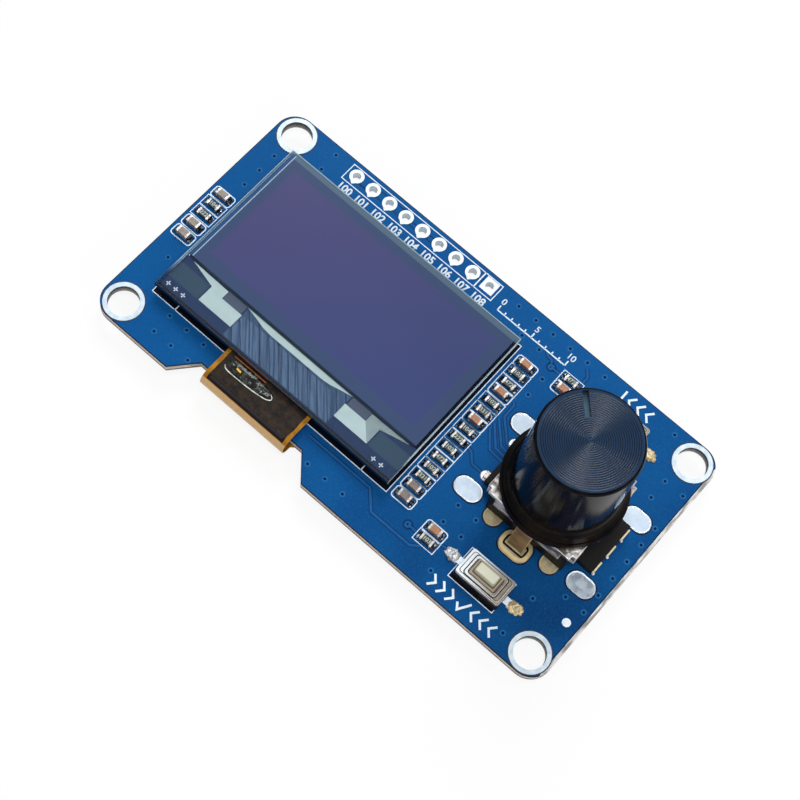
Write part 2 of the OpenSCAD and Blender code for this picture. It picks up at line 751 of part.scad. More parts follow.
// disc that the shaft turns, with a ring of detent notches in its upper face
module encoder_rotor() {
    color("#2f5e46") translate([enc_x, 0, 0]) difference() {
        translate([0, 0, rotor_z0]) cylinder(r = rotor_r, h = rotor_z1 - rotor_z0);
        intersection() {
            cylinder(r = shank_r + key_gap, h = 20);
            block(20, 2 * (shank_flat + key_gap), 20);
        }
        for (i = [0 : detent_n - 1]) rotate(i * 360 / detent_n)
            translate([3.1, 0, rotor_z1]) rotate([0, 90, 0]) cylinder(r = 0.3, h = 2, $fn = 24);
    }
}

// ring leaf under the bushing's flange, with one rounded finger in a notch
module detent_spring() {
    z = z_house - 0.15;
    color("#a88b4a") translate([enc_x, 0, 0]) {
        translate([0, 0, z]) difference() {
            cylinder(r = chamber_r - 0.1, h = 0.15);
            translate([0, 0, -1]) cylinder(r = groove_r + 1.4, h = 3);
        }
        translate([4.2, 0, 0]) {
            translate([0, 0, rotor_z1 + 0.1]) cylinder(r = 0.22, h = z - rotor_z1 - 0.1 + eps);
            translate([0, 0, rotor_z1 + 0.1]) sphere(0.22);
        }
    }
}

module push_dome() {
    color("#c9ccd0") translate([enc_x, 0, z_pocket]) snap_dome(dome_r, dome_h, 0.1);
}

// ---- knob ----------------------------------------------------------------------------
// turned rings across the top, from the edge to the middle: shallow V grooves
ring_out = knob_r - 0.55;
ring_step = ring_out / (ring_n + 1);
function knob_top_line() = [for (i = [0 : ring_n - 1]) for (k = [0, 1])
    [ring_out - (i + k * 0.5) * ring_step, k_top - k * ring_depth]];

module knob() {
    inner_r = k_side_r - knob_wall;
    inner_top = k_top - knob_wall - 1.3;
    color("#15161a") translate([enc_x, 0, 0]) difference() {
        rotate_extrude($fn = 96) difference() {
            polygon(concat(
                [[0, k_skirt], [skirt_r - 0.15, k_skirt], [skirt_r, k_skirt + 0.15],
                 [skirt_r, k_skirt + 0.55], [skirt_r - 0.2, k_skirt + 0.75],
                 [skirt_r - 0.3, k_skirt + 0.75], [skirt_r - 0.32, k_skirt + 1.0],
                 [k_side_r + 0.42, k_skirt + 1.3], [k_side_r + 0.38, k_skirt + 1.5],
                 [k_side_r + 0.12, k_shoulder - 0.25], [k_side_r, k_shoulder],
                 [knob_r, k_top - 0.35], [knob_r - 0.1, k_top - 0.12], [knob_r - 0.3, k_top]],
                knob_top_line(),
                [[0, k_top - ring_depth]]
            ));
            // hollow of the moulding round the bushing, and above it round the hub
            translate([0, k_skirt - 1]) square([bush_r + 0.9, hub_z - k_skirt + 1]);
            polygon([[hub_r, k_skirt - 1], [inner_r, k_skirt - 1],
                [inner_r, k_shoulder], [knob_r - knob_wall, inner_top], [hub_r, inner_top]]);
        }
        // keyed bore for the shaft
        difference() {
            translate([0, 0, hub_z - 1]) cylinder(r = shaft_r + 0.01, h = shaft_top + 0.1 - hub_z + 1);
            translate([flat_x + 0.01 + 5, 0, (flat_z + shaft_top) / 2 + 0.5])
                cube([10, 20, shaft_top - flat_z + 1], center = true);
        }
        // pointer slot
        rotate(slot_dir) translate([knob_r * 0.68, 0, k_top])
            cube([knob_r * 0.5, slot_w, 2 * slot_d], center = true);
    }
}

// ---- push buttons --------------------------------------------------------------------
module key_at(side) {
    translate([key_x, side * key_y, board_t]) children();
}

// foot of a lead on the board, measured from the middle of its solder
module key_lead_shape(local = false) {
    from = local ? -lead_out + 0.35 - key_l / 2 : 0;
    z = local ? board_t : 0;
    translate([from, 0, z]) {
        translate([key_l / 2 + lead_out / 2 - 0.4, 0, 0]) block(lead_out + 0.8, lead_w, 0.2);
    }
}

module key_leads() {
    color("#d8dce0") for (side = [-1, 1]) key_at(side)
        for (s = [0, 1]) mirror([s, 0, 0]) key_lead_shape();
}

module key_base(side) {
    color("#17181a") key_at(side) difference() {
        linear_extrude(key_base_h) difference() {
            round_rect(key_l, key_w, 0.25);
            // side recesses where the cover's tabs fold in
            for (y = [-1, 1]) translate([0, y * key_w / 2]) square([1.2, 0.2], center = true);
        }
        translate([0, 0, key_dome_z]) cylinder(r = key_dome_r + 0.1, h = 2);
        for (s = [0, 1]) mirror([s, 0, 0]) key_lead_shape();
    }
}

// pressed steel cover: a raised tray with walls down to the base, and a rim round its window
module key_cover(side) {
    l = key_l - 0.04;
    w = key_w - 0.16;
    color("#e1e1e1") key_at(side) difference() {
        union() {
            translate([0, 0, key_base_h]) linear_extrude(key_cover_z - key_base_h - 0.12)
                round_rect(l, w, 0.3);
            translate([0, 0, key_base_h]) linear_extrude(key_cover_z - key_base_h)
                round_rect(l - 0.5, w - 0.5, 0.3);
            translate([0, 0, key_cover_z - 0.12]) linear_extrude(0.12 + key_rim_h)
                round_rect(key_window[0] + 2 * key_rim, key_window[1] + 2 * key_rim, 0.35);
        }
        block(l - 2 * key_sheet, w - 2 * key_sheet, key_cover_z - key_sheet - key_base_h + eps,
            key_base_h - eps);
        linear_extrude(5) round_rect(key_window[0], key_window[1], 0.3);
    }
}

// moulded button: stem foot over the dome, flange under the cover, plinth and cap
module key_button(side) {
    nub_z = key_dome_z + key_dome_h + 0.02;
    color("#e4e1cd") key_at(side) {
        translate([0, 0, nub_z]) cylinder(r = 0.6, h = key_flange_z - nub_z);
        block(key_flange[0], key_flange[1], key_flange_t, key_flange_z - key_flange_t);
        translate([0, 0, key_flange_z - eps]) linear_extrude(key_cover_z + 0.6 - key_flange_z)
            round_rect(key_plinth[0], key_plinth[1], 0.25);
        translate([0, 0, key_cover_z]) linear_extrude(key_top - 0.12 - key_cover_z)
            round_rect(cap_l, cap_w, 0.2);
        translate([0, 0, key_cover_z]) linear_extrude(key_top - key_cover_z)
            round_rect(cap_l - 0.24, cap_w - 0.24, 0.12);
    }
}

module key_dome(side) {
    color("#c9ccd0") key_at(side) translate([0, 0, key_dome_z])
        snap_dome(key_dome_r, key_dome_h, 0.07);
}

// ---- drawing -------------------------------------------------------------------------
circuit_board();
mounting_rings();
header_pads();
slot_solder();
smd_solder();
foam_tape();
rear_glass();
front_glass();
polarizer();
electrode_film();
flex_tail();
driver_chip();
edge_resin();
encoder_housing();
encoder_frame();
encoder_bushing();
encoder_shaft();
encoder_rotor();
detent_spring();
retaining_clip();
signal_terminals();
switch_terminals();
push_dome();
knob();
key_base(-1);  // confirm_base
key_cover(-1);  // confirm_cover
key_button(-1);  // confirm_button
key_dome(-1);  // confirm_dome
key_base(1);  // back_base
key_cover(1);  // back_cover
key_button(1);  // back_button
key_dome(1);  // back_dome
key_leads();
for (i = [0 : len(chips) - 1])
    chip_node(i);
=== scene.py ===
"""Looks of a small display module with a knob: finishes, printed marks, tracks, vias and glass."""

import json
import math

import bmesh
import bpy
from mathutils import Euler, Matrix, Vector, noise


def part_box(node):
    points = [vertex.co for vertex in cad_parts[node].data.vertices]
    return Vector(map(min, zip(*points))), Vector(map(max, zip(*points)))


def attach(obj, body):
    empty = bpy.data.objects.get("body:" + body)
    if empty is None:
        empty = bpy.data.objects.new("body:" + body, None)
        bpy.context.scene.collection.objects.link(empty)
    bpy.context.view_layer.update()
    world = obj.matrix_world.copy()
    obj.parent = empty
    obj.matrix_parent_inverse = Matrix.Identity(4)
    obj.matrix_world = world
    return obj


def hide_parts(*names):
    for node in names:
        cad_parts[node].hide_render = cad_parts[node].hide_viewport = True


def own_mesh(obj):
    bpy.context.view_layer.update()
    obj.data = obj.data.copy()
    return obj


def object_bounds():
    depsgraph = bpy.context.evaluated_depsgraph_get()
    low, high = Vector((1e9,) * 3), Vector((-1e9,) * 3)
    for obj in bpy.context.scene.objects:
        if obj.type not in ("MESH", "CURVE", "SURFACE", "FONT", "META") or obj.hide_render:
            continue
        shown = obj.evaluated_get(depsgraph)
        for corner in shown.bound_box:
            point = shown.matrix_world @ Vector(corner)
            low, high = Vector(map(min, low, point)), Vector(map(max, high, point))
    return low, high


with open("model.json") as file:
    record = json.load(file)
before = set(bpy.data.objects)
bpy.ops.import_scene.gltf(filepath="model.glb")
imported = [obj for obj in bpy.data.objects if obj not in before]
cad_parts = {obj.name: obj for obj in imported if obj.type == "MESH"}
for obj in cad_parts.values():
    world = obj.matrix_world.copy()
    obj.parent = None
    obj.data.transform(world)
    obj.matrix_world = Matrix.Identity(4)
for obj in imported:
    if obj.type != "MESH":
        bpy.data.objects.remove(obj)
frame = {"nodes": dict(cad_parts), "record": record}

cad_box = [list(corner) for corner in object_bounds()]
MM = 0.001


# ---- places read from the frame, in millimetres ------------------------------------------
def box_mm(node):
    """Lowest and highest corner of a solid, in millimetres."""
    low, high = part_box(node)
    return low / MM, high / MM


def middle(node):
    low, high = box_mm(node)
    return (low + high) / 2


BOARD_HIGH = box_mm("circuit_board")[1]
GLASS_LOW, GLASS_HIGH = box_mm("front_glass")
FILM_LOW, FILM_HIGH = box_mm("polarizer")
TAIL_LOW, TAIL_HIGH = box_mm("flex_tail")
AXIS = middle("knob")
KNOB_HIGH = box_mm("knob")[1]
FRAME_HIGH = box_mm("encoder_frame")[1]
TOP = BOARD_HIGH.z
CHIPS = [name for name in frame["nodes"] if name.startswith(("capacitor_", "resistor_"))]
RESISTORS = [name for name in CHIPS if name.startswith("resistor_")]
KEYS = {"confirm": middle("confirm_base"), "back": middle("back_base")}
HOLES = next(m for m in frame["record"]["mounts"] if m["name"] == "mounting_holes")["dims"]
DISPLAY = middle("front_glass")
FACE = TOP + 0.001      # marks start just over the board's face

# sizes that several finishes and marks share, in millimetres
V_CUT = 0.42            # scored strip along the board's right side
TURNED_RADIUS = 5.2     # rings turned into the knob's top
TURNED_RINGS = 22
LINE = 0.16             # printed lines
FINE_LINE = 0.13


# ---- materials ---------------------------------------------------------------------------
def srgb(red, green, blue):
    """A colour given as 0 to 255 on the usual display scale, made linear."""
    def linear(level):
        level /= 255
        return level / 12.92 if level <= 0.04045 else ((level + 0.055) / 1.055) ** 2.4
    return (linear(red), linear(green), linear(blue), 1.0)


class Wire:
    """One socket of a tree's nodes, with Python's operators on it."""

    def __init__(self, nodes, socket):
        self.nodes = nodes
        self.socket = socket

    def math(self, operation, *others):
        return self.nodes.math(operation, self, *others)

    def __add__(self, other):
        return self.math("ADD", other)

    __radd__ = __add__

    def __mul__(self, other):
        return self.math("MULTIPLY", other)

    __rmul__ = __mul__

    def __sub__(self, other):
        return self.math("SUBTRACT", other)

    def __rsub__(self, other):
        return self.nodes.math("SUBTRACT", other, self)

    def __truediv__(self, other):
        return self.math("DIVIDE", other)

    def __gt__(self, other):
        return self.math("GREATER_THAN", other)

    def __lt__(self, other):
        return self.math("LESS_THAN", other)

    def __abs__(self):
        return self.math("ABSOLUTE")

    def rise(self, edge, soft=0.04):
        """0 below edge and 1 above it, smooth over soft."""
        settings = {"interpolation_type": "SMOOTHSTEP"}
        low, high = edge - soft / 2, edge + soft / 2
        return self.nodes.node("ShaderNodeMapRange", settings, self, low, high)

    def within(self, low, high, soft=0.04):
        return self.rise(low, soft) * (1 - self.rise(high, soft))


class Nodes:
    """The nodes of one tree, made and joined."""

    def __init__(self, tree):
        self.tree = tree

    def join(self, socket, value):
        if isinstance(value, Wire):
            self.tree.links.new(value.socket, socket)
        else:
            socket.default_value = value

    def node(self, kind, settings, *values, out=0, **named):
        """A new node: its settings first, then its sockets in order or by name."""
        made = self.tree.nodes.new(kind)
        for word, value in settings.items():
            setattr(made, word, value)
        for socket, value in zip(made.inputs, values):
            self.join(socket, value)
        for word, value in named.items():
            self.join(made.inputs[word], value)
        return Wire(self, made.outputs[out])

    def math(self, operation, *values):
        return self.node("ShaderNodeMath", {"operation": operation}, *values)

    def looked_at(self):
        """1 for what the camera meets, straight, in a gloss or through glass, and 0 for light."""
        rays = self.node("ShaderNodeLightPath", {}).socket.node.outputs
        camera, gloss, glass = (
            Wire(self, rays[f"Is {way} Ray"]) for way in ("Camera", "Glossy", "Transmission")
        )
        return camera.math("MAXIMUM", gloss).math("MAXIMUM", glass)


class Paint(Nodes):
    """One material: a Principled shader and the nodes that feed it."""

    SOCKETS = {
        "color": "Base Color", "rough": "Roughness", "metal": "Metallic", "alpha": "Alpha",
        "coat": "Coat Weight", "coat_rough": "Coat Roughness", "specular": "Specular IOR Level",
        "ior": "IOR", "normal": "Normal", "subsurface": "Subsurface Weight",
        "subsurface_scale": "Subsurface Scale",
    }

    def __init__(self, name, **surface):
        self.material = bpy.data.materials.new(name)
        self.material.use_nodes = True
        super().__init__(self.material.node_tree)
        self.shader = self.tree.nodes["Principled BSDF"]
        self.spot = None
        self.set(**surface)

    def set(self, **surface):
        for word, value in surface.items():
            self.join(self.shader.inputs[self.SOCKETS[word]], value)
        return self

    def place(self):
        """Object coordinates in millimetres, as one vector."""
        if self.spot is None:
            seat = self.node("ShaderNodeTexCoord", {}, out="Object")
            scale = {"operation": "SCALE"}
            self.spot = self.node("ShaderNodeVectorMath", scale, seat, Scale=1 / MM)
        return self.spot

    def axes(self):
        parted = self.node("ShaderNodeSeparateXYZ", {}, self.place()).socket.node
        return [Wire(self, socket) for socket in parted.outputs]

    def noise(self, scale, detail=3.0, rough=0.5, stretch=(1, 1, 1)):
        """Soft noise around 0.5, scale in repeats a millimetre."""
        stretched = {"operation": "MULTIPLY"}
        spot = self.node("ShaderNodeVectorMath", stretched, self.place(), stretch)
        return self.texture(spot, scale, detail, rough)

    def texture(self, spot, scale, detail, rough):
        return self.node(
            "ShaderNodeTexNoise", {}, Vector=spot, Scale=scale, Detail=detail, Roughness=rough,
        )

    def mix(self, share, first, second):
        """The first colour where share is 0, the second where it is 1."""
        made = self.tree.nodes.new("ShaderNodeMix")
        made.data_type = "RGBA"
        for index, value in ((0, share), (6, first), (7, second)):
            self.join(made.inputs[index], value)
        return Wire(self, made.outputs[2])

    def relief(self, height, depth):
        """Bump of depth millimetres."""
        return self.node("ShaderNodeBump", {}, Strength=1.0, Distance=depth * MM, Height=height)


def reach(dx, dy):
    """Distance from two offsets."""
    return (dx * dx + dy * dy).math("SQRT")


def past(x, y, centre, half_x, half_y):
    """How far a place lies outside a box; below zero inside it."""
    return (abs(x - centre.x) - half_x).math("MAXIMUM", abs(y - centre.y) - half_y)


def plain(name, color, rough, metal=0.0, mottle=0.06, grain=2.0, depth=0.004, **more):
    """A finish with slight mottling of its colour and roughness and a fine relief."""
    paint = Paint(name, metal=metal, **more)
    cloud = paint.noise(grain)
    fine = paint.noise(grain * 9, 2.0)
    dark = tuple(c * (1 - mottle * 2) for c in color[:3]) + (1.0,)
    light = tuple(min(1.0, c * (1 + mottle)) for c in color[:3]) + (1.0,)
    paint.set(
        color=paint.mix(cloud.rise(0.5, 0.5), dark, light),
        rough=rough * (0.85 + 0.3 * cloud),
        normal=paint.relief(fine, depth),
    )
    return paint


def mask_color(paint, x, y):
    """Blue mask with painted shade, darker towards the encoder's end, then bare laminate along the
    score line.
    """
    # painted shade: the mask darkens towards the encoder's end, where the knob's shadow falls
    far_shade = ((x - y) / 60).rise(0.35, 0.9)
    mask = paint.mix(far_shade, srgb(10, 80, 142), srgb(5, 59, 112))
    mask = paint.mix(paint.noise(0.12, 2.0).rise(0.5, 0.4) * 0.5, mask, srgb(12, 88, 150))
    fleck = paint.noise(7.0, 2.0).rise(0.6, 0.3)
    mask = paint.mix(fleck * 0.35, mask, srgb(34, 102, 160))
    start = BOARD_HIGH.x - V_CUT
    mask = paint.mix(x.rise(start - 0.12, 0.05), mask, srgb(9, 30, 62))
    cut = paint.noise(1.1, 5.0, stretch=(3, 0.5, 1))
    scored = paint.mix(cut.rise(0.5, 0.3), srgb(146, 144, 142), srgb(226, 225, 222))
    return paint.mix((x + 0.06 * cut).rise(start + 0.03, 0.03), mask, scored)


def laminate_color(paint, z, fibre):
    """Pale fibres of the sawn edge, darker at the foot, with a dark line under the mask."""
    laminate = paint.mix(fibre.rise(0.5, 0.4), srgb(172, 163, 150), srgb(218, 210, 199))
    laminate = paint.mix(z.rise(0.38, 0.1), srgb(124, 114, 107), laminate)
    return paint.mix(z.rise(TOP - 0.22, 0.06), laminate, srgb(60, 70, 84))


def board_finish():
    """Blue solder mask on both faces and laminate on the sawn edges."""
    paint = Paint("board_mask", specular=0.035)
    x, y, z = paint.axes()
    mask_depth = 0.03
    edge = z.within(mask_depth, TOP - mask_depth, 0.02)
    weave = (
        paint.noise(3.0, 2.0, stretch=(1, 0.25, 1)) + paint.noise(3.0, 2.0, stretch=(0.25, 1, 1))
    )
    fibre = paint.noise(1.2, 4.0, stretch=(1, 1, 9))
    paint.set(
        color=paint.mix(edge, mask_color(paint, x, y), laminate_color(paint, z, fibre)),
        rough=0.38 + 0.4 * edge,
        normal=paint.relief(weave * (1 - edge) + 5 * fibre * edge, 0.004),
    )
    return paint


def ring_finish():
    """Tinned ring with painted shade in its bore, darkest towards the top, and a dark gap in the
    mask round it.
    """
    paint = Paint("tin_ring")
    x, y, z = paint.axes()
    radius = reach(
        abs(x) - HOLES["spacing_x_mm"] / 2, abs(y) - HOLES["spacing_y_mm"] / 2,
    )
    tin_radius = 2.36
    cloud = paint.noise(1.4, 3.0)
    face = abs(z - TOP / 2).rise(TOP / 2 - 0.02, 0.02)
    tin = paint.mix(cloud.rise(0.5, 0.5), srgb(182, 202, 218), srgb(212, 226, 236))
    tin = paint.mix(radius.rise(tin_radius, 0.05), tin, srgb(10, 26, 54))
    # painted shade: the bore wall is painted dark towards its top
    wall = paint.mix(z.rise(0.6, 0.8), srgb(150, 146, 142), srgb(40, 38, 42))
    paint.set(
        color=paint.mix(face, wall, tin), metal=0.2 * face, rough=0.42 + 0.3 * (1 - face),
        normal=paint.relief(cloud, 0.02),
    )
    return paint


def glass_finish():
    """Clear glass: what lies under the ledge shows through; ground edges get a painted highlight
    above, painted shade below.
    """
    paint = Paint("panel_glass", rough=0.04, ior=1.5)
    x, y, _ = paint.axes()
    half = (GLASS_HIGH - GLASS_LOW) / 2
    rim = past(x, y, DISPLAY, half.x, half.y).rise(-0.1, 0.04)
    # painted shade: the lower edge is nearly black for the shade under the glass
    lower_shade = 1 - y.rise(GLASS_LOW.y + 0.06, 0.04)
    # painted highlight: the rim turns pale towards the upper side and stays dark blue lower down
    upper = y.rise(FILM_LOW.y - 2.0, 3.0)
    pale = paint.mix(upper, srgb(34, 66, 98), srgb(172, 196, 210))
    pale = paint.mix(lower_shade, pale, srgb(5, 7, 20))
    band = y.rise(GLASS_HIGH.y - 0.6, 0.1)
    body = paint.mix(band, srgb(40, 62, 92), srgb(84, 108, 126))
    paint.set(
        color=paint.mix(rim, body, pale),
        alpha=0.06 + 0.7 * rim.math("MAXIMUM", band) + 0.24 * lower_shade,
    )
    return paint


def film_finish():
    """Violet-grey polarizer over the dark picture area, slate border, pale top edge, painted
    highlight left, painted shade below.
    """
    paint = Paint("polarizer_film", rough=0.16, specular=0.12)
    x, y, _ = paint.axes()
    half = (FILM_HIGH - FILM_LOW) / 2
    centre = (FILM_HIGH + FILM_LOW) / 2
    border_width = 1.6
    border = past(x, y, centre, half.x, half.y).rise(-border_width, 0.5)
    along = ((x - centre.x) - (y - centre.y)) / (2 * half.x + 2 * half.y) + 0.5
    field = paint.mix(along.rise(0.5, 1.0), srgb(76, 74, 116), srgb(60, 72, 118))
    field = paint.mix(paint.noise(5.0, 2.0) * 0.3, field, srgb(60, 70, 116))
    color = paint.mix(border, field, srgb(60, 76, 110))
    color = paint.mix(y.rise(FILM_HIGH.y - 0.45, 0.12), color, srgb(82, 104, 122))
    # painted highlight: a blue strip and a pale line along the left edge
    bevel = 1 - x.rise(FILM_LOW.x + 0.5, 0.04)
    color = paint.mix(bevel, color, srgb(44, 78, 118))
    color = paint.mix(bevel * x.rise(FILM_LOW.x + 0.38, 0.03), color, srgb(156, 178, 204))
    # painted shade: a dark line along the lower edge
    lower_shade = 1 - y.rise(FILM_LOW.y + 0.07, 0.03)
    paint.set(color=paint.mix(lower_shade, color, srgb(40, 54, 84)))
    return paint


def stripes(paint, x, y):
    """Share of light in the ledge's slanted tracks: dark gaps between them and faint streaks."""
    tracks_per_mm, wander, gap_share = 0.95, 0.5, 0.07
    across = x * 0.73 + y * 0.68
    spot = paint.node("ShaderNodeCombineXYZ", {}, across, (x - y) * 0.05, 0.0)
    streak = paint.texture(spot, 2.2, 3.0, 0.6)
    turn = (across * tracks_per_mm + streak * wander).math("FRACT")
    gap = 1 - abs(turn - 0.5).rise(gap_share, 0.06)
    return (0.45 + streak.rise(0.5, 0.3) * 0.55) * (1 - 0.85 * gap)


def electrode_finish():
    """Pale conductor for the contacts and the bar, blue-grey for the slanted tracks."""
    paint = Paint("electrode_film", rough=0.5, specular=0.3)
    x, y, _ = paint.axes()
    side = abs(x - DISPLAY.x)
    tracks = (side < 7.6) * (y < FILM_LOW.y - 1.0)
    bar_top = (side < 8.5) * (y > FILM_LOW.y - 0.14)
    pale = paint.mix(paint.noise(1.2, 3.0), srgb(172, 200, 204), srgb(198, 218, 218))
    pale = paint.mix(bar_top, pale, srgb(120, 150, 146))
    blue = paint.mix(stripes(paint, x, y), srgb(28, 50, 82), srgb(84, 114, 148))
    paint.set(color=paint.mix(tracks, pale, blue))
    return paint


def ledge_finish():
    """Slate blocks, a dark field behind the tracks and a nearly black edge."""
    paint = Paint("ledge_sheet", rough=0.4, specular=0.2)
    x, y, _ = paint.axes()
    side = abs(x - DISPLAY.x)
    top = FILM_LOW.y
    block = side.within(12.7, 17.1) * y.within(top - 3.2, top - 1.0)
    patch = side.within(7.9, 10.6) * y.within(top - 1.3, top + 0.1)
    field = (1 - side.rise(7.7)) * (y > top - 4.4)
    edge = 1 - y.rise(top - 4.5, 0.06)
    slate = paint.mix(block, srgb(24, 50, 88), srgb(46, 72, 94))
    slate = paint.mix(patch, slate, srgb(76, 88, 110))
    streak = paint.mix(stripes(paint, x, y), srgb(22, 38, 68), srgb(66, 96, 130))
    color = paint.mix(field, slate, streak)
    paint.set(color=paint.mix(edge, color, srgb(5, 6, 18)))
    return paint


def tail_finish():
    """Amber film with a dark cover layer down its middle and a pale fold."""
    paint = Paint("tail_film", specular=0.15, coat=0.06, coat_rough=0.08)
    x, y, z = paint.axes()
    cloud = paint.noise(0.9, 3.0)
    side = abs(x - DISPLAY.x) + 0.25 * (paint.noise(0.8, 2.0) - 0.5)
    upper = z > 1.5
    fold_edge = TAIL_LOW.y
    middle_part = (1 - side.rise(5.62, 0.06)) * upper
    cover = middle_part * y.rise(fold_edge + 1.15, 0.04)
    line = middle_part * y.within(fold_edge + 0.48, fold_edge + 1.15, 0.04)
    inner = (1 - side.rise(5.3, 0.06)) * y.within(fold_edge + 0.72, fold_edge + 1.02, 0.04) * upper
    fold = (1 - y.rise(fold_edge + 0.42, 0.06)) * (z > 0.8)
    amber = paint.mix(cloud.rise(0.5, 0.5), srgb(118, 74, 6), srgb(176, 120, 22))
    amber = paint.mix(side.rise(6.1, 0.1), amber, srgb(186, 134, 46))
    color = paint.mix(fold, amber, srgb(196, 164, 118))
    smear = paint.noise(1.1, 5.0, 0.7).rise(0.5, 0.3)
    color = paint.mix(cover, color, paint.mix(smear, srgb(12, 9, 8), srgb(44, 31, 18)))
    color = paint.mix(line, color, srgb(4, 4, 7))
    color = paint.mix(inner, color, srgb(38, 34, 38))
    paint.set(color=color, rough=0.3, normal=paint.relief(cloud, 0.08))
    return paint


def resin_finish():
    """Clear, glossy resin over the dark tail, cloudy in places."""
    paint = Paint("edge_resin", rough=0.12, specular=0.25)
    cloud = paint.noise(1.2, 4.0)
    fleck = paint.noise(3.0, 3.0).rise(0.68, 0.08)
    base = paint.mix(cloud.rise(0.54, 0.24), srgb(14, 14, 13), srgb(66, 74, 66))
    color = paint.mix(fleck * 0.6, base, srgb(150, 166, 158))
    return paint.set(color=color, normal=paint.relief(cloud, 0.12))


def knob_finish():
    """Glossy black sides, with brown streaks as a painted warm reflection."""
    paint = Paint("knob_black", ior=1.13)
    smear = paint.noise(0.5, 4.0, stretch=(1, 1, 0.3))
    # painted reflection: brown streaks in the black for warm reflections
    color = paint.mix(smear.rise(0.55, 0.3), srgb(6, 5, 7), srgb(22, 17, 13))
    return paint.set(color=color, rough=0.09 + 0.07 * smear)


def knob_top_finish():
    """Slate top, turned in fine rings with painted shade in their valleys, and a paler pointer
    slot.
    """
    paint = Paint("knob_top", specular=0.13)
    x, y, z = paint.axes()
    radius = reach(x - AXIS.x, y - AXIS.y)
    cloud = paint.noise(0.6, 2.0)
    wave = (radius * (2 * math.pi * TURNED_RINGS / TURNED_RADIUS)).math("COSINE")
    crest = wave * (1 - radius.rise(TURNED_RADIUS + 0.05, 0.1))
    face = paint.mix(cloud, srgb(19, 40, 66), srgb(31, 56, 84))
    # painted shade: the rings' valleys are darkened
    face = paint.mix((1 - crest.rise(-0.4, 0.8)) * 0.8, face, srgb(4, 8, 18))
    slot = paint.mix(1 - radius.rise(4.6, 2.0), srgb(26, 42, 58), srgb(66, 92, 108))
    floor = 1 - z.rise(KNOB_HIGH.z - 0.3, 0.02)
    paint.set(
        color=paint.mix(floor, face, slot), rough=0.2 + 0.06 * cloud,
        normal=paint.relief((1 - crest) * (1 - floor), 0.008),
    )
    return paint


def steel_finish(name, dull, bright, dull_low, bright_low, metal):
    """Tinned sheet steel of the encoder in two tones, with a painted warm reflection on the lugs
    near the board.
    """
    paint = Paint(name)
    z = paint.axes()[2]
    cloud = paint.noise(0.55, 4.0, stretch=(1, 1, 2))
    # painted reflection: warm colour low down on the lugs, near the board
    low = 1 - z.rise(TOP + 3.9, 0.6)
    cold = paint.mix(cloud.rise(0.52, 0.16), dull, bright)
    painted_warm = paint.mix(cloud.rise(0.5, 0.4), dull_low, bright_low)
    paint.set(
        color=paint.mix(low, cold, painted_warm), metal=metal * (1 - 0.6 * low), rough=0.3 + 0.16 * cloud,
        normal=paint.relief(cloud, 0.3),
    )
    return paint


def chip_finish(name, centre_x, body, rough):
    """Ceramic body with tinned metal ends, for one column of chip parts."""
    paint = Paint(name)
    x = paint.axes()[0]
    body_half = 0.54
    ends = abs(x - centre_x) > body_half
    cloud = paint.noise(3.0, 3.0)
    tin = paint.mix(cloud.rise(0.5, 0.5), srgb(150, 146, 142), srgb(232, 232, 232))
    dark = tuple(c * 0.7 for c in body[:3]) + (1.0,)
    paint.set(
        color=paint.mix(ends, paint.mix(cloud.rise(0.5, 0.4), dark, body), tin),
        metal=0.6 * ends,
        rough=rough + (0.28 - rough) * ends,
        normal=paint.relief(cloud, 0.03),
    )
    return paint


def button_finish(key, centre):
    """Grey-green cap on a browner plinth, with dark lines where they meet."""
    paint = Paint(key + "_ivory", subsurface=0.05, subsurface_scale=0.001)
    x, y, z = paint.axes()
    top = box_mm(key + "_button")[1].z
    cap = z.rise(top - 0.66, 0.03)
    face = z.rise(top - 0.1, 0.04)
    cap_half_x, cap_half_y = 1.35, 0.65
    outside = past(x, y, centre, cap_half_x, cap_half_y)
    foot = (1 - outside.rise(0.14, 0.06)) * (1 - cap)
    rim = outside.rise(0.32, 0.05) * (1 - cap)
    cloud = paint.noise(1.5, 3.0)
    plinth = paint.mix(cloud, srgb(150, 138, 116), srgb(172, 160, 138))
    plinth = paint.mix(foot, plinth, srgb(74, 66, 54))
    plinth = paint.mix(rim, plinth, srgb(90, 74, 56))
    wall = paint.mix(cloud, srgb(150, 148, 128), srgb(180, 178, 156))
    color = paint.mix(cap, plinth, paint.mix(face, wall, srgb(214, 215, 194)))
    return paint.set(color=color, rough=0.4, normal=paint.relief(cloud, 0.01))


def pool_finish():
    """Dull solder of the four wide pads, the near right one greyer and blotched as painted shade.
    """
    paint = Paint("solder_pool", rough=0.5, specular=0.3)
    x, y, _ = paint.axes()
    # painted shade: the near right pad is greyer, lying in the knob's shadow
    shaded_pad = (x > AXIS.x) * (y < AXIS.y)
    cloud = paint.noise(0.9, 4.0, 0.6)
    pale = paint.mix(cloud.rise(0.5, 0.4), srgb(196, 214, 234), srgb(214, 230, 244))
    grey = paint.mix(cloud.rise(0.5, 0.24), srgb(140, 152, 166), srgb(188, 202, 214))
    return paint.set(color=paint.mix(shaded_pad, pale, grey), normal=paint.relief(cloud, 0.05))


def cover_finish(key, centre):
    """Bright sheet steel of a button's cover, with painted shade making it duller and warmer
    towards its right end.
    """
    paint = Paint(key + "_steel", metal=0.45)
    x = paint.axes()[0]
    cloud = paint.noise(0.9, 3.0)
    # painted shade: the cover darkens towards its right end, where the knob's shadow falls
    along = (x - centre.x + 0.8 * (cloud - 0.5)).rise(0.2, 4.6)
    color = paint.mix(along, srgb(216, 224, 230), srgb(132, 124, 114))
    return paint.set(color=color, rough=0.32 + 0.1 * cloud, normal=paint.relief(cloud, 0.06))


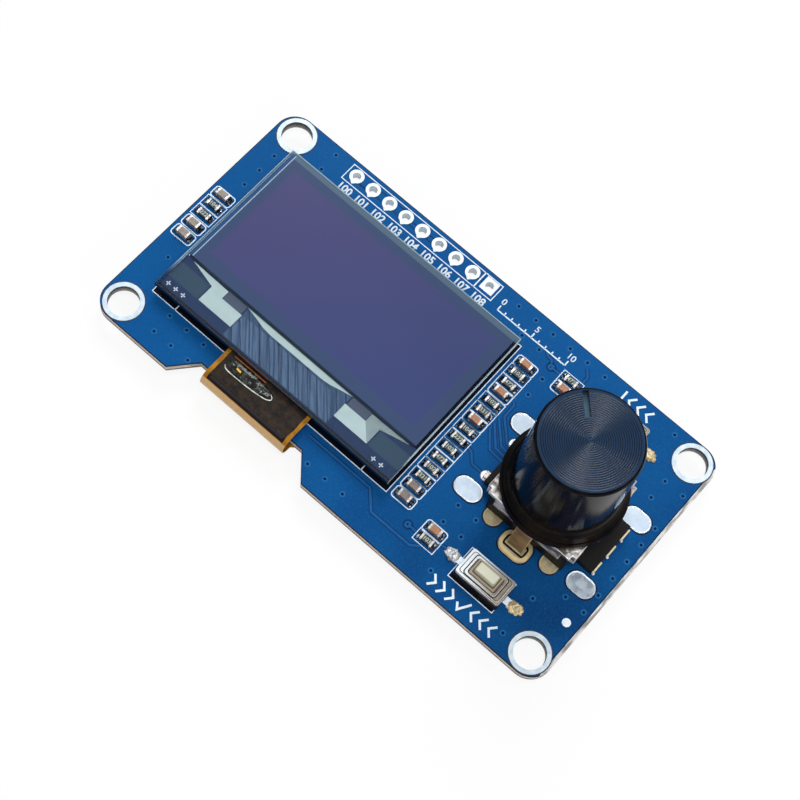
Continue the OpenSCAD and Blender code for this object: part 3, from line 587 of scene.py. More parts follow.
def fillet_finish():
    """Solder painted dark for shade and dark reflections, with bright specks painted in as glints.
    """
    paint = Paint("solder_fillet_painted_shade", rough=0.25, specular=0.3)
    speck = paint.noise(3.4, 2.0)
    # painted highlight: bright metal specks as glints on the dark solder
    bright = speck.rise(0.6, 0.06)
    paint.set(
        color=paint.mix(bright, srgb(12, 14, 20), srgb(214, 218, 220)), metal=0.8 * bright,
        normal=paint.relief(speck, 0.12),
    )
    return paint


def assign(paint, *names):
    for name in names:
        slots = frame["nodes"][name].data.materials
        slots.clear()
        slots.append(paint.material)


BOARD = board_finish()
TIN = plain("tin_plate", srgb(206, 216, 226), 0.36, metal=0.6, depth=0.01)
SOLDER = plain("solder", srgb(206, 216, 226), 0.32, metal=0.7, grain=1.2, depth=0.05)
FOAM = plain("foam_tape", srgb(226, 226, 220), 0.9, depth=0.05)
REAR = plain("rear_glass", srgb(44, 54, 66), 0.1)
SILICON = plain("driver_silicon", srgb(38, 42, 48), 0.2)
MOULDING = plain("black_moulding", srgb(17, 16, 17), 0.5, depth=0.01, specular=0.12)
NICKEL = plain("nickel_plate", srgb(196, 198, 200), 0.25, metal=1.0)
TURNED = plain("turned_metal", srgb(205, 208, 212), 0.28, metal=1.0)
ROTOR = plain("rotor_green", srgb(46, 94, 70), 0.5)
BRONZE = plain("spring_bronze", srgb(168, 140, 78), 0.3, metal=1.0)
# painted reflection: cream-gold tint of the signal terminals for the warm reflection on them
TERMINAL_WARM_TINT = plain("terminal_painted_warm", srgb(240, 222, 176), 0.28, metal=0.7)
PALE_TIN = plain(
    "terminal_tin", srgb(214, 204, 198), 0.3, metal=0.5, mottle=0.12, depth=0.05,
)
PAD = plain("pad_tin", srgb(226, 234, 240), 0.4, metal=0.15, depth=0.01)
# painted highlight: bright steel for the rounded edges of the button covers
COVER_EDGE_HIGHLIGHT = plain("cover_steel_edge_highlight", srgb(216, 217, 216), 0.3, metal=0.4)
GROOVE = plain("groove_shade", srgb(34, 30, 28), 0.7, specular=0.05)
INK = plain("silk_ink", srgb(226, 238, 248), 0.55, mottle=0.03)
CODE = plain("chip_code_ink", srgb(182, 196, 184), 0.6)
GAP = plain("mask_gap", srgb(8, 28, 62), 0.4, specular=0.1)
FAINT = plain("mask_in_gap", srgb(12, 54, 104), 0.4, specular=0.05)
RAISED = plain("mask_over_track", srgb(26, 90, 150), 0.36, specular=0.06)
HALO = plain("mask_over_via", srgb(30, 98, 156), 0.36, specular=0.06)
DOT = plain("via_dot", srgb(6, 26, 66), 0.5, specular=0.03)
# painted shade: a near-black sheet laid where shade falls, under the glass and beside the buttons
SHADE_SHEET = plain("display_painted_shade", srgb(6, 8, 20), 0.6, specular=0.05)
POOL = pool_finish()
# painted reflection: warm-tinted solder near the encoder and on the right leads, for warm
# reflections
PAINTED_WARM = plain(
    "solder_painted_warm", srgb(186, 172, 138), 0.4, metal=0.2, mottle=0.14, grain=1.4, depth=0.05,
)
PAINTED_WARM_RIM = plain(
    "solder_rim_painted_warm", srgb(226, 206, 154), 0.34, metal=0.3, grain=1.4, depth=0.03,
)
LEAD = plain(
    "lead_solder", srgb(226, 228, 230), 0.3, metal=0.3, mottle=0.25, grain=1.2, depth=0.05,
)
PAINTED_WARM_LEAD = plain(
    "lead_solder_painted_warm", srgb(226, 206, 160), 0.3, metal=0.25, mottle=0.3, grain=1.2, depth=0.05,
)
SHADED_FILLET = fillet_finish()
COPPER = plain("bare_copper", srgb(206, 122, 62), 0.3, metal=0.9)
RESIN = resin_finish()
# painted highlight: pale colour of the resin's lip, for the glint along the drop's edge
LIP_HIGHLIGHT = plain("resin_lip_highlight", srgb(206, 214, 206), 0.1, mottle=0.3, grain=1.0, coat=0.5)
# painted highlight: gold for a small glint over the resin
GOLD_GLINT = plain("gold_glint_paint", srgb(240, 186, 70), 0.25, metal=0.9)

assign(BOARD, "circuit_board")
assign(ring_finish(), "mounting_rings")
assign(PAD, "header_pads")
assign(TIN, "key_leads")
assign(SOLDER, "slot_solder", "smd_solder")
assign(FOAM, "foam_tape")
assign(REAR, "rear_glass")
assign(glass_finish(), "front_glass")
assign(film_finish(), "polarizer")
assign(electrode_finish(), "electrode_film")
assign(tail_finish(), "flex_tail")
assign(SILICON, "driver_chip")
assign(RESIN, "edge_resin")
assign(MOULDING, "encoder_housing", "confirm_base", "back_base")
STEEL = steel_finish(
    "encoder_steel", srgb(92, 88, 86), srgb(220, 217, 212),
    srgb(120, 98, 68), srgb(160, 134, 94), 0.5,
)
# painted highlight: brighter steel for the rounded edges of the encoder frame
STEEL_EDGE_HIGHLIGHT = steel_finish(
    "encoder_steel_edge_highlight", srgb(196, 194, 190), srgb(248, 248, 248),
    srgb(196, 166, 112), srgb(230, 204, 150), 0.4,
)
assign(STEEL, "encoder_frame")
assign(NICKEL, "encoder_bushing", "retaining_clip", "push_dome", "confirm_dome", "back_dome")
assign(TURNED, "encoder_shaft")
assign(ROTOR, "encoder_rotor")
assign(BRONZE, "detent_spring")
assign(TERMINAL_WARM_TINT, "signal_terminals")
assign(PALE_TIN, "switch_terminals")
assign(knob_finish(), "knob")
for key, centre in KEYS.items():
    assign(button_finish(key, centre), key + "_button")
    assign(cover_finish(key, centre), key + "_cover")


def finish_chips():
    """Each column of chip parts gets its own ceramic and metal ends."""
    kinds = {
        "black": (srgb(16, 16, 19), 0.4), "dark": (srgb(128, 114, 106), 0.45),
        "grey": (srgb(152, 140, 130), 0.45), "brown": (srgb(178, 122, 88), 0.45),
    }
    made = {}
    for name in CHIPS:
        centre = round(middle(name).x, 2)
        number = int(name[-2:])
        if name in RESISTORS:
            kind = "black"
        # painted shade: chips 14 and 15 get a darker ceramic for the shade they lie in
        elif number in (14, 15):
            kind = "dark"
        else:
            kind = "grey" if number in (16, 19, 20) else "brown"
        if (kind, centre) not in made:
            made[kind, centre] = chip_finish(f"chip_{kind}_{len(made)}", centre, *kinds[kind])
        assign(made[kind, centre], name)


finish_chips()


# ---- solids with rounded edges -----------------------------------------------------------
def copy_of(node):
    """A bmesh copy of a solid."""
    bm = bmesh.new()
    bm.from_mesh(frame["nodes"][node].data)
    return bm


def softened(node, width, edge_finish=0):
    """A bmesh copy of a solid, its sharp edges rounded and its flat faces left flat."""
    flat, steep, crease = 1, 35, 40     # degrees between two faces
    bm = copy_of(node)
    bmesh.ops.remove_doubles(bm, verts=bm.verts[:], dist=0.0005 * MM)
    bmesh.ops.dissolve_limit(
        bm, angle_limit=math.radians(flat), verts=bm.verts[:], edges=bm.edges[:],
        use_dissolve_boundaries=False,
    )
    turn = {e: math.degrees(e.calc_face_angle(0.0)) for e in bm.edges if len(e.link_faces) == 2}
    for face in bm.faces:
        face.smooth = any(flat < turn.get(e, 0) < steep for e in face.edges)
    made = bmesh.ops.bevel(
        bm, geom=[e for e, angle in turn.items() if angle > steep], offset=width * MM,
        affect="EDGES", segments=2, profile=0.5, clamp_overlap=True, material=-1,
    )
    for face in made["faces"]:
        face.smooth = True
        face.material_index = edge_finish
    for edge in bm.edges:
        joined = len(edge.link_faces) == 2
        edge.smooth = joined and edge.calc_face_angle(0.0) < math.radians(crease)
    return bm


def new_object(name, bm, materials):
    """Ends a bmesh: its mesh becomes an object of the scene."""
    mesh = bpy.data.meshes.new(name)
    bm.to_mesh(mesh)
    bm.free()
    for material in materials:
        mesh.materials.append(material)
    made = bpy.data.objects.new(name, mesh)
    bpy.context.scene.collection.objects.link(made)
    return made


def dress(bm, node, *paints):
    """Makes the copy a piece that stands for its solid; the first finish is the solid's own."""
    own = frame["nodes"][node].data.materials[0]
    piece = new_object(node + "_finished", bm, [own] + [paint.material for paint in paints])
    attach(piece, BODY_OF[node])
    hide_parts(node)
    return piece


BODY_OF = {n: body for body, names in frame["record"]["behaviour"]["bodies"].items() for n in names}

# width of the rounding of each solid's edges, in millimetres
SOFT = {
    "mounting_rings": 0.02, "header_pads": 0.02, "foam_tape": 0.05, "encoder_housing": 0.06,
    "signal_terminals": 0.06, "switch_terminals": 0.06, "confirm_base": 0.05,
    "confirm_button": 0.06, "back_base": 0.05, "back_button": 0.06, "key_leads": 0.04,
}
# painted highlight: the rounded edges of these sheets get the brighter finish
SHEET_STEEL = (
    ("encoder_frame", 0.11, STEEL_EDGE_HIGHLIGHT),
    ("confirm_cover", 0.06, COVER_EDGE_HIGHLIGHT),
    ("back_cover", 0.06, COVER_EDGE_HIGHLIGHT),
)
for name, width in SOFT.items():
    dress(softened(name, width), name)
for name in CHIPS:
    dress(softened(name, 0.05), name)
for name, width, edge_paint in SHEET_STEEL:
    dress(softened(name, width, edge_finish=1), name, edge_paint)


def dress_board():
    """The board, with a dark line along every edge where the mask stops short."""
    bm = softened("circuit_board", 0.03)
    large = 5 * MM * MM
    line = 0.1 * MM
    flat = [f for f in bm.faces if abs(f.normal.z) > 0.999 and f.calc_area() > large]
    rim = bmesh.ops.inset_region(
        bm, faces=flat, thickness=line, use_boundary=True, use_even_offset=True,
    )
    for face in rim["faces"]:
        if face.calc_center_median().x < (BOARD_HIGH.x - V_CUT) * MM:
            face.material_index = 1
    dress(bm, "circuit_board", GAP)


dress_board()


def dress_knob():
    """The knob with its own finish on the turned top inside the rim."""
    rim_radius, rim_height = 5.5, 0.7
    bm = copy_of("knob")
    for face in bm.faces:
        spot = face.calc_center_median() / MM
        inside = math.hypot(spot.x - AXIS.x, spot.y - AXIS.y) < rim_radius
        face.material_index = 1 if inside and spot.z > KNOB_HIGH.z - rim_height else 0
    dress(bm, "knob", knob_top_finish())


dress_knob()


def dress_domes():
    """Spring domes of the switches: each gets a copy of its solid, with a mesh of its own."""
    for joint in frame["record"]["behaviour"]["joints"]:
        for dome in joint.get("deforming_nodes", []):
            piece = dress(copy_of(dome["node"]), dome["node"])
            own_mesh(piece)


dress_domes()


def dress_slots():
    """Solder pools beside the encoder: a raised rim, a sunk middle, and a painted warm reflection
    next to the frame.
    """
    bm = softened("slot_solder", 0.05)

    def is_wide(face):
        return face.normal.z > 0.99 and face.calc_area() > 1.5 * MM * MM

    # the painted warm reflection reaches this far from the axis
    frame_side, lug_side = 5.6, 2.5     # reach of the warm solder and of the lugs, from the axis
    pools = [
        f for f in bm.faces
        if is_wide(f) and f.calc_center_median().z > TOP * MM
        and abs(f.calc_center_median().y - AXIS.y * MM) < 5.9 * MM
    ]
    bmesh.ops.inset_individual(
        bm, faces=pools, thickness=0.16 * MM, depth=-0.05 * MM, use_even_offset=True,
    )
    for face in bm.faces:
        spot = face.calc_center_median() / MM - AXIS
        pool = face in pools
        if abs(spot.x) >= frame_side:
            face.material_index = 1 if pool else 0
        else:
            lug_pool = abs(spot.x) < lug_side and is_wide(face)
            face.material_index = 3 if pool or lug_pool else 2
    dress(bm, "slot_solder", POOL, PAINTED_WARM_RIM, PAINTED_WARM)


def make_lug_joints():
    """Round each lug of the encoder: painted shade as a dark band at its foot, and a bright lip of
    solder.
    """
    pool = TOP + 0.12
    foot_shades, lips = Print(), Print()
    for side in (-1, 1):
        foot = side * (FRAME_HIGH.y - 0.3)
        pad = side * (FRAME_HIGH.y - 0.25)
        foot_shades.frame((AXIS.x, foot), (3.0, 1.5), 0.26, radius=0.4)
        lips.frame((AXIS.x, pad), (3.7, 2.7), 0.38, radius=1.1)
    # painted shade: dark band round each lug's foot
    foot_shades.piece("lug_foot_shade", GROOVE, pool - 0.02, 0.03, slot="solder")
    lips.piece("lug_solder_lips", PAINTED_WARM_RIM, pool - 0.05, 0.2, slot="solder")


def dress_joints():
    """Solder of chip parts and button leads: chip fillets painted dark with glints, leads past the
    knob's axis warm.
    """
    bm = softened("smd_solder", 0.03)
    reach_x, reach_y = 1.5, 0.8         # a chip's fillets lie inside this box
    chips = [middle(name) for name in CHIPS]
    for face in bm.faces:
        spot = face.calc_center_median() / MM
        if any(abs(spot.x - c.x) < reach_x and abs(spot.y - c.y) < reach_y for c in chips):
            face.material_index = 1
        elif spot.z > TOP:
            face.material_index = 3 if spot.x > AXIS.x else 2
    dress(bm, "smd_solder", SHADED_FILLET, LEAD, PAINTED_WARM_LEAD)


dress_slots()
dress_joints()


# ---- printed marks -----------------------------------------------------------------------
class Print:
    """Flat shapes in one plane, raised together into one thin piece. Sizes in millimetres."""

    def __init__(self):
        self.bm = bmesh.new()

    def add(self, made, spot):
        """Copies a small bmesh in, at its place."""
        mesh = bpy.data.meshes.new("stamp")
        made.to_mesh(mesh)
        made.free()
        mesh.transform(spot)
        self.bm.from_mesh(mesh)
        bpy.data.meshes.remove(mesh)

    def line(self, start, end, width):
        run = Vector(end) - Vector(start)
        spot = Matrix.Translation((*((Vector(start) + Vector(end)) / 2), 0))
        spot @= Matrix.Rotation(math.atan2(run.y, run.x), 4, "Z")
        spot @= Matrix.Diagonal((run.length / 2, width / 2, 1, 1))
        bmesh.ops.create_grid(self.bm, x_segments=1, y_segments=1, size=1, matrix=spot)

    def disc(self, centre, radius, segments=24):
        spot = Matrix.Translation((*centre, 0))
        bmesh.ops.create_circle(
            self.bm, cap_ends=True, radius=radius, segments=segments, matrix=spot,
        )

    def path(self, points, width):
        """A band of one width along straight runs, its joints mitred."""
        points = [Vector(point) for point in points]
        runs = [(b - a).normalized() for a, b in zip(points, points[1:])]
        edge = None
        for point, before, after in zip(points, runs[:1] + runs, runs + runs[-1:]):
            across = (before + after).normalized().orthogonal()
            across *= width / 2 / across.dot(before.orthogonal())
            spots = (point + across).to_3d(), (point - across).to_3d()
            if edge is None:
                edge = self.bm.edges.new([self.bm.verts.new(spot) for spot in spots])
                order = edge.verts[:]
                continue
            made = bmesh.ops.extrude_edge_only(self.bm, edges=[edge])["geom"]
            edges = [part for part in made if isinstance(part, bmesh.types.BMEdge)]
            edge = next(e for e in edges if not set(e.verts) & set(order))
            order = [next(v for v in edge.verts if v.co == old.co) for old in order]
            for v, spot in zip(order, spots):
                v.co = spot

    def cut_middle(self, made, width):
        """Leaves only a rim of the one face of a small bmesh."""
        face = next(iter(made.faces))
        made.normal_update()
        bmesh.ops.inset_region(made, faces=[face], thickness=width, use_boundary=True)
        bmesh.ops.delete(made, geom=[face], context="FACES_ONLY")

    def ring(self, centre, inner, outer, segments=32):
        made = bmesh.new()
        bmesh.ops.create_circle(made, cap_ends=True, radius=outer, segments=segments)
        self.cut_middle(made, outer - inner)
        self.add(made, Matrix.Translation((*centre, 0)))

    def plate(self, centre, size, radius=0.0, rim=None):
        """A box with round corners, or only a rim of it."""
        made = bmesh.new()
        scale = Matrix.Diagonal((size[0] / 2, size[1] / 2, 1, 1))
        grid = bmesh.ops.create_grid(made, x_segments=1, y_segments=1, size=1, matrix=scale)
        if radius:
            bmesh.ops.bevel(
                made, geom=grid["verts"], offset=radius, affect="VERTICES",
                segments=5, profile=0.5, material=-1,
            )
        if rim is not None:
            self.cut_middle(made, rim)
        self.add(made, Matrix.Translation((*centre, 0)))

    def frame(self, centre, size, width, radius=0.0):
        """Outline of a box with round corners, its line inside the size given."""
        self.plate(centre, size, radius, rim=width)

    def shape(self, points):
        self.bm.faces.new([self.bm.verts.new((x, y, 0)) for x, y in points])

    def digits(self, text, centre, height, bold):
        """Plain numbers, centred, each line thickened by bold."""
        curve = bpy.data.curves.new("digits", "FONT")
        curve.body = text
        curve.size = height * 1.4
        curve.align_x = "CENTER"
        curve.align_y = "CENTER"
        curve.offset = bold
        holder = bpy.data.objects.new("digits", curve)
        mesh = bpy.data.meshes.new_from_object(holder)
        mesh.transform(Matrix.Translation((*centre, 0)))
        self.bm.from_mesh(mesh)
        bpy.data.objects.remove(holder)
        bpy.data.curves.remove(curve)

    def piece(self, name, paint, z, thickness, slot="silk_ink"):
        """Raises the flat shapes and makes one object of them."""
        bm = self.bm
        made = bmesh.ops.extrude_face_region(bm, geom=bm.faces[:])
        raised = [v for v in made["geom"] if isinstance(v, bmesh.types.BMVert)]
        bmesh.ops.translate(bm, verts=raised, vec=(0, 0, thickness))
        bmesh.ops.recalc_face_normals(bm, faces=bm.faces[:])
        place = Matrix.Scale(MM, 4) @ Matrix.Translation((0, 0, z))
        bmesh.ops.transform(bm, verts=bm.verts[:], matrix=place)
        return finished(bm, name, paint)


def finished(bm, name, paint):
    """A bmesh in metres becomes a piece on the board."""
    piece = new_object(name, bm, [paint.material])
    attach(piece, "board")
    return piece


def rounded(bm, name, paint):
    """A round shape in millimetres becomes a smooth piece on the board."""
    bmesh.ops.scale(bm, verts=bm.verts[:], vec=(MM, MM, MM))
    for face in bm.faces:
        face.smooth = True
    return finished(bm, name, paint)


def print_chip_boxes(ink):
    """A box round each chip part: square for a resistor, round corners for a capacitor."""
    for name in CHIPS:
        centre = middle(name)
        radius = 0.0 if name in RESISTORS else 0.42
        ink.frame((centre.x, centre.y), (2.95, 1.62), FINE_LINE, radius)


def pin_places():
    """Centres of the header holes, from left to right."""
    low, high = box_mm("header_pads")
    pad_radius, pins = 0.9, 9
    pitch = (high.x - low.x - 2 * pad_radius) / (pins - 1)
    return [(low.x + pad_radius + pin * pitch, (low.y + high.y) / 2) for pin in range(pins)]


def print_header(ink):
    """Box round the header holes, a bar before the last one, and a number for each pin."""
    low, high = box_mm("header_pads")
    centre = (low + high) / 2
    top, bottom = centre.y + 1.05, centre.y - 1.35
    bar = high.x - 2.25
    size = (high.x - low.x + 0.8, top - bottom + 0.05)
    ink.frame((centre.x, (top + bottom) / 2), size, LINE)
    ink.line((bar, top), (bar, bottom), LINE)
    for pin, (x, y) in enumerate(pin_places()):
        ink.digits(str(100 + pin), (x, y - 2.2), 0.95, bold=0.04)


def print_scale(ink):
    """Ten-millimetre scale beside the header row."""
    left, base, length = 1.7, 13.75, 10
    ink.line((left, base), (left + length, base), LINE)
    for step in range(length + 1):
        tall = 0.7 if step % 5 == 0 else 0.4
        ink.line((left + step, base), (left + step, base + tall), LINE)
    for step in (0, 5, 10):
        ink.digits(str(step), (left + step, base + 1.25), 0.8, bold=0.02)


def print_display(ink):
    """Outline round the glass with two ticks, and a dark sheet inside it as painted shade under the
    glass.
    """
    low = Vector((GLASS_LOW.x - 0.25, GLASS_LOW.y - 0.3))
    high = Vector((GLASS_HIGH.x + 0.3, GLASS_HIGH.y + 0.3))
    line, tick = 0.14, 1.1
    ink.frame((low + high) / 2, high - low, line)
    # painted shade: a dark sheet inside the outline for the shade under the glass
    shade_sheet = Print()
    shade_sheet.plate((low + high) / 2, high - low - Vector((2 * line, 2 * line)))
    shade_sheet.piece("display_painted_shade", SHADE_SHEET, FACE, 0.01, slot="foam")
    for x in (low.x + 3.5, high.x - 3.75):
        ink.line((x, low.y), (x, low.y + tick), line)


def print_keys(ink):
    """Outline and painted shadow of each push button, and plain marks: a tick, and a way back."""
    mark_line, pitch = 0.26, 1.25
    head_x, head_y = 0.65, 0.75         # depth and half height of an arrow head
    for word, side in (("confirm", -1), ("back", 1)):
        centre = KEYS[word]
        ink.frame((centre.x - 0.2, centre.y), (6.3, 4.3), FINE_LINE)
        # painted shadow: a dark strip inside the outline on the button's near side
        shade = Print()
        shade_y = centre.y - 1.72
        shade.line((centre.x - 3.2, shade_y), (centre.x + 2.8, shade_y), 0.62)
        shade.piece(word + "_footprint", SHADE_SHEET, FACE, 0.006, slot="solder_mask")
        y = centre.y + side * 3.62
        if word == "confirm":
            tips = [(way * pitch * (1 + step), -way) for way in (-1, 1) for step in range(3)]
            tick = ((-0.65, 0.0), (-0.15, -0.7), (0.75, 0.75))
            ink.path([(centre.x + dx, y + dy) for dx, dy in tick], mark_line)
        else:
            tips = [(-1.2 + pitch * step, -1) for step in range(3)]
            bar = centre.x - 2.0
            ink.line((bar, y - head_y), (bar, y + head_y), mark_line)
        for dx, way in tips:
            x = centre.x + dx
            back = x - way * head_x
            ink.path([(back, y + head_y), (x, y), (back, y - head_y)], mark_line)


def make_ink():
    ink = Print()
    print_chip_boxes(ink)
    print_header(ink)
    print_scale(ink)
    print_display(ink)
    print_keys(ink)
    ink.piece("silk_print", INK, FACE, 0.02)


make_ink()


# ---- vias, tracks and the test point -----------------------------------------------------
VIA_PITCH = 2.55
VIA_CORNER = (BOARD_HIGH.x - 1.2, BOARD_HIGH.y - 1.2)
# row: columns, counted from the board's far corner
VIAS = {
    0: (2, 6, 7, 8, 9, 10, 11, 22), 1: (9, 10, 22), 2: (0, 1, 8, 24), 3: (1, 8, 24), 4: (0, 24),
    5: (0,), 6: (0,), 7: (0,), 8: (0,), 9: (0, 1, 6, 7, 24), 10: (2, 6, 7),
    11: (20, 21, 22), 12: (2, 6, 11, 12, 13, 20, 21, 22),
}
SIGNAL_VIAS = [(10.8, -12.55), (10.7, 12.55)]
# openings of the mask round the encoder's solder: place from its axis, size, corner radius
LEG_OPENINGS = ((8.05, 5, (3.78, 2.68), 1.2), (4, 5.35, (2.46, 2.86), 1.1))
LUG_OPENING = (6.5, (4.2, 3.2), 1.2)
# runs of the copper tracks
TRACKS = [
    [(10.8, -12.55), (12.0, -12.55)],
    [(-3.9, -12.2), (5.0, -12.2), (6.9, -14.2), (12.4, -14.2), (13.4, -13.5)],
    [(15.1, -11.8), (16.4, -11.8)],
    [(9.7, -1.2), (10.5, -1.4), (11.5, -2.45), (13.0, -2.5)],
    [(10.7, 12.55), (12.0, 12.55)],
    [(13.9, 15.2), (14.6, 14.4), (14.6, 13.4)],
    [(9.0, 13.9), (9.6, 13.3), (10.2, 13.3), (10.7, 12.55)],
    [(10.3, 6.3), (10.55, 6.1), (10.6, 4.3), (12.9, 2.0), (13.8, 2.0)],
] + [
    [(10.3, 2.1 + 0.8 * i), (11.9 + 0.35 * i, 0.15 + 0.6 * i), (13.8, 0.0 + 0.6 * i)]
    for i in range(3)
]


def make_tracks():
    """Copper tracks and vias under the mask: a darker gap in the copper, a raised track."""
    faint, gaps, raised, halos, dots = Print(), Print(), Print(), Print(), Print()
    spots = [
        (VIA_CORNER[0] - VIA_PITCH * column, VIA_CORNER[1] - VIA_PITCH * row)
        for row, columns in VIAS.items() for column in columns
    ]
    for path in TRACKS:
        faint.path(path, 0.5)
        raised.path(path, 0.26)
    for spot in SIGNAL_VIAS:
        faint.ring(spot, 0.4, 0.6)
    for side_x in (-1, 1):
        for side_y in (-1, 1):
            for dx, dy, size, radius in LEG_OPENINGS:
                gaps.plate((AXIS.x + side_x * dx, AXIS.y + side_y * dy), size, radius)
    for side_y in (-1, 1):
        dy, size, radius = LUG_OPENING
        gaps.plate((AXIS.x, AXIS.y + side_y * dy), size, radius)
    for spot in spots + SIGNAL_VIAS:
        halos.ring(spot, 0.17, 0.36, 24)
        dots.disc(spot, 0.18)
    faint.piece("track_gaps", FAINT, FACE, 0.003, slot="solder_mask")
    gaps.piece("mask_openings", GAP, FACE, 0.004, slot="solder_mask")
    raised.piece("copper_tracks", RAISED, FACE, 0.014, slot="solder_mask")
    halos.piece("via_rings", HALO, FACE, 0.012, slot="solder_mask")
    dots.piece("via_dots", DOT, FACE, 0.009, slot="solder_mask")
    point = Print()
    point.disc((30.6, -9.3), 0.5, 32)
    point.piece("test_point", TIN, FACE, 0.03, slot="tin_plate")


def make_teardrops():
    """Small points of the round header pads where their tracks leave."""
    tips = Print()
    for x, y in pin_places()[:-1]:
        tips.shape([(x - 0.62, y - 0.6), (x + 0.1, y - 1.14), (x + 0.62, y - 0.6)])
    tips.piece("pad_teardrops", PAD, FACE, 0.02, slot="tin_plate")


def make_key_grooves():
    """Shade lines round the raised rim and the edge of each button's cover."""
    for key, centre in KEYS.items():
        low, high = box_mm(key + "_cover")
        brim = high.z - 0.2
        spot = (centre.x, centre.y)
        lines = Print()
        lines.frame(spot, (4.52, 2.82), 0.12, radius=0.4)
        lines.frame(spot, (high.x - low.x - 0.62, high.y - low.y - 0.5), 0.06, radius=0.3)
        lines.piece(key + "_cover_grooves", GROOVE, brim + 0.001, 0.008, slot="bright_steel")


def make_ledge():
    """Dark printed sheet under the bare ledge of the glass, with plain alignment marks."""
    sheet = Print()
    low = Vector((GLASS_LOW.x + 0.05, GLASS_LOW.y + 0.05))
    high = Vector((GLASS_HIGH.x - 0.05, FILM_LOW.y + 0.1))
    sheet.plate((low + high) / 2, high - low)
    sheet.piece("ledge_sheet", ledge_finish(), GLASS_LOW.z - 0.03, 0.01, slot="electrode")
    marks = Print()
    arm = 0.3
    for x in (low.x + 0.9, low.x + 2.0, low.x + 3.1, high.x - 1.9, high.x - 3.0):
        y = low.y + 1.15
        marks.line((x - arm, y), (x + arm, y), FINE_LINE)
        marks.line((x, y - arm), (x, y + arm), FINE_LINE)
    marks.piece("ledge_marks", INK, GLASS_LOW.z - 0.018, 0.004)


def make_drop():
    """Uneven drop of resin over the tail beside the glass, flat underneath."""
    long_half, wide_half, tall = 3.2, 0.85, 0.34
    base = TAIL_HIGH.z
    bm = bmesh.new()
    bmesh.ops.create_uvsphere(bm, u_segments=48, v_segments=24, radius=1.0)
    bmesh.ops.scale(bm, verts=bm.verts[:], vec=(long_half, wide_half, tall))
    for v in bm.verts:
        v.co.y *= 1.0 - 0.12 * v.co.x / long_half
        v.co.z += 0.05 * noise.noise(Vector((v.co.x * 1.1, v.co.y * 2.2, 4.0)))
        v.co.y += 0.12 * noise.noise(Vector((v.co.x * 0.9, 0.0, 7.0)))
    centre = (DISPLAY.x - 1.8, GLASS_LOW.y - 1.1, base)
    bmesh.ops.translate(bm, verts=bm.verts[:], vec=centre)
    cut = bmesh.ops.bisect_plane(
        bm, geom=bm.verts[:] + bm.edges[:] + bm.faces[:], plane_co=(0, 0, base + 0.005),
        plane_no=(0, 0, 1), clear_inner=True,
    )
    foot = [e for e in cut["geom_cut"] if isinstance(e, bmesh.types.BMEdge)]
    bmesh.ops.holes_fill(bm, edges=foot, sides=0)
    bmesh.ops.recalc_face_normals(bm, faces=bm.faces[:])
    for face in bm.faces:
        face.smooth = face.normal.z > -0.9
    bmesh.ops.scale(bm, verts=bm.verts[:], vec=(MM, MM, MM))
    drop = finished(bm, "resin_drop", RESIN)
    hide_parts("edge_resin")


# run of the resin's lip, from the display's middle and the edge of its glass
LIP_RUN = (
    (-5.0, -1.7), (-4.9, -2.0), (-4.2, -2.12), (-3.2, -2.08), (-2.0, -2.06), (-0.8, -2.0),
    (0.3, -1.86), (1.2, -1.7), (1.6, -1.35), (1.3, -0.98), (0.7, -0.8), (0.1, -0.86),
)


def make_lip():
    """Shiny lip of resin round the drop: a round line of uneven thickness, its pale colour a
    painted highlight.
    """
    line = bpy.data.curves.new("lip", "CURVE")
    line.dimensions = "3D"
    line.bevel_depth = 0.085 * MM
    line.bevel_resolution = 3
    line.use_fill_caps = True
    run = line.splines.new("NURBS")
    run.points.add(len(LIP_RUN) - 1)
    z = TAIL_HIGH.z + 0.09
    for point, (x, y) in zip(run.points, LIP_RUN):
        point.co = ((DISPLAY.x + x) * MM, (GLASS_LOW.y + y) * MM, z * MM, 1)
        point.radius = 0.8 + 0.6 * noise.noise(Vector((x, y, 0)))
    run.use_endpoint_u = True
    run.order_u = 4
    holder = bpy.data.objects.new("lip", line)
    mesh = bpy.data.meshes.new_from_object(holder)
    bpy.data.objects.remove(holder)
    bpy.data.curves.remove(line)
    bm = bmesh.new()
    bm.from_mesh(mesh)
    bpy.data.meshes.remove(mesh)
    for face in bm.faces:
        face.smooth = True
    finished(bm, "resin_lip_highlight", LIP_HIGHLIGHT)


def make_bare_metal():
    """Bare copper strip along the glass, and a gold fleck over the resin as a painted highlight."""
    left, edge, base = DISPLAY.x - 4.9, GLASS_LOW.y, TAIL_HIGH.z
    strip = Print()
    strip.line((left, edge - 0.22), (left + 4.6, edge - 0.22), 0.08)
    strip.piece("bare_strip", COPPER, base + 0.001, 0.02, slot="electrode")
    # painted highlight: a small gold fleck over the resin drop
    glint = Print()
    glint.line((left + 1.2, edge - 1.25), (left + 1.85, edge - 1.32), 0.2)
    glint.piece("gold_glint", GOLD_GLINT, base + 0.34, 0.03, slot="electrode")


def make_beads():
    """Bead of solder at one end of each signal terminal's edge, put there as a painted highlight.
    """
    low, high = box_mm("signal_terminals")
    terminal_width = 1.7
    pitch = (high.y - low.y - terminal_width) / 2
    bm = bmesh.new()
    for i in (-1, 0, 1):
        spot = Matrix.Translation((high.x - 0.02, i * pitch - 0.78, 1.74))
        spot @= Matrix.Diagonal((0.17, 0.2, 0.16, 1))
        bmesh.ops.create_icosphere(bm, subdivisions=3, radius=1, matrix=spot)
    rounded(bm, "terminal_glint_beads", SOLDER)


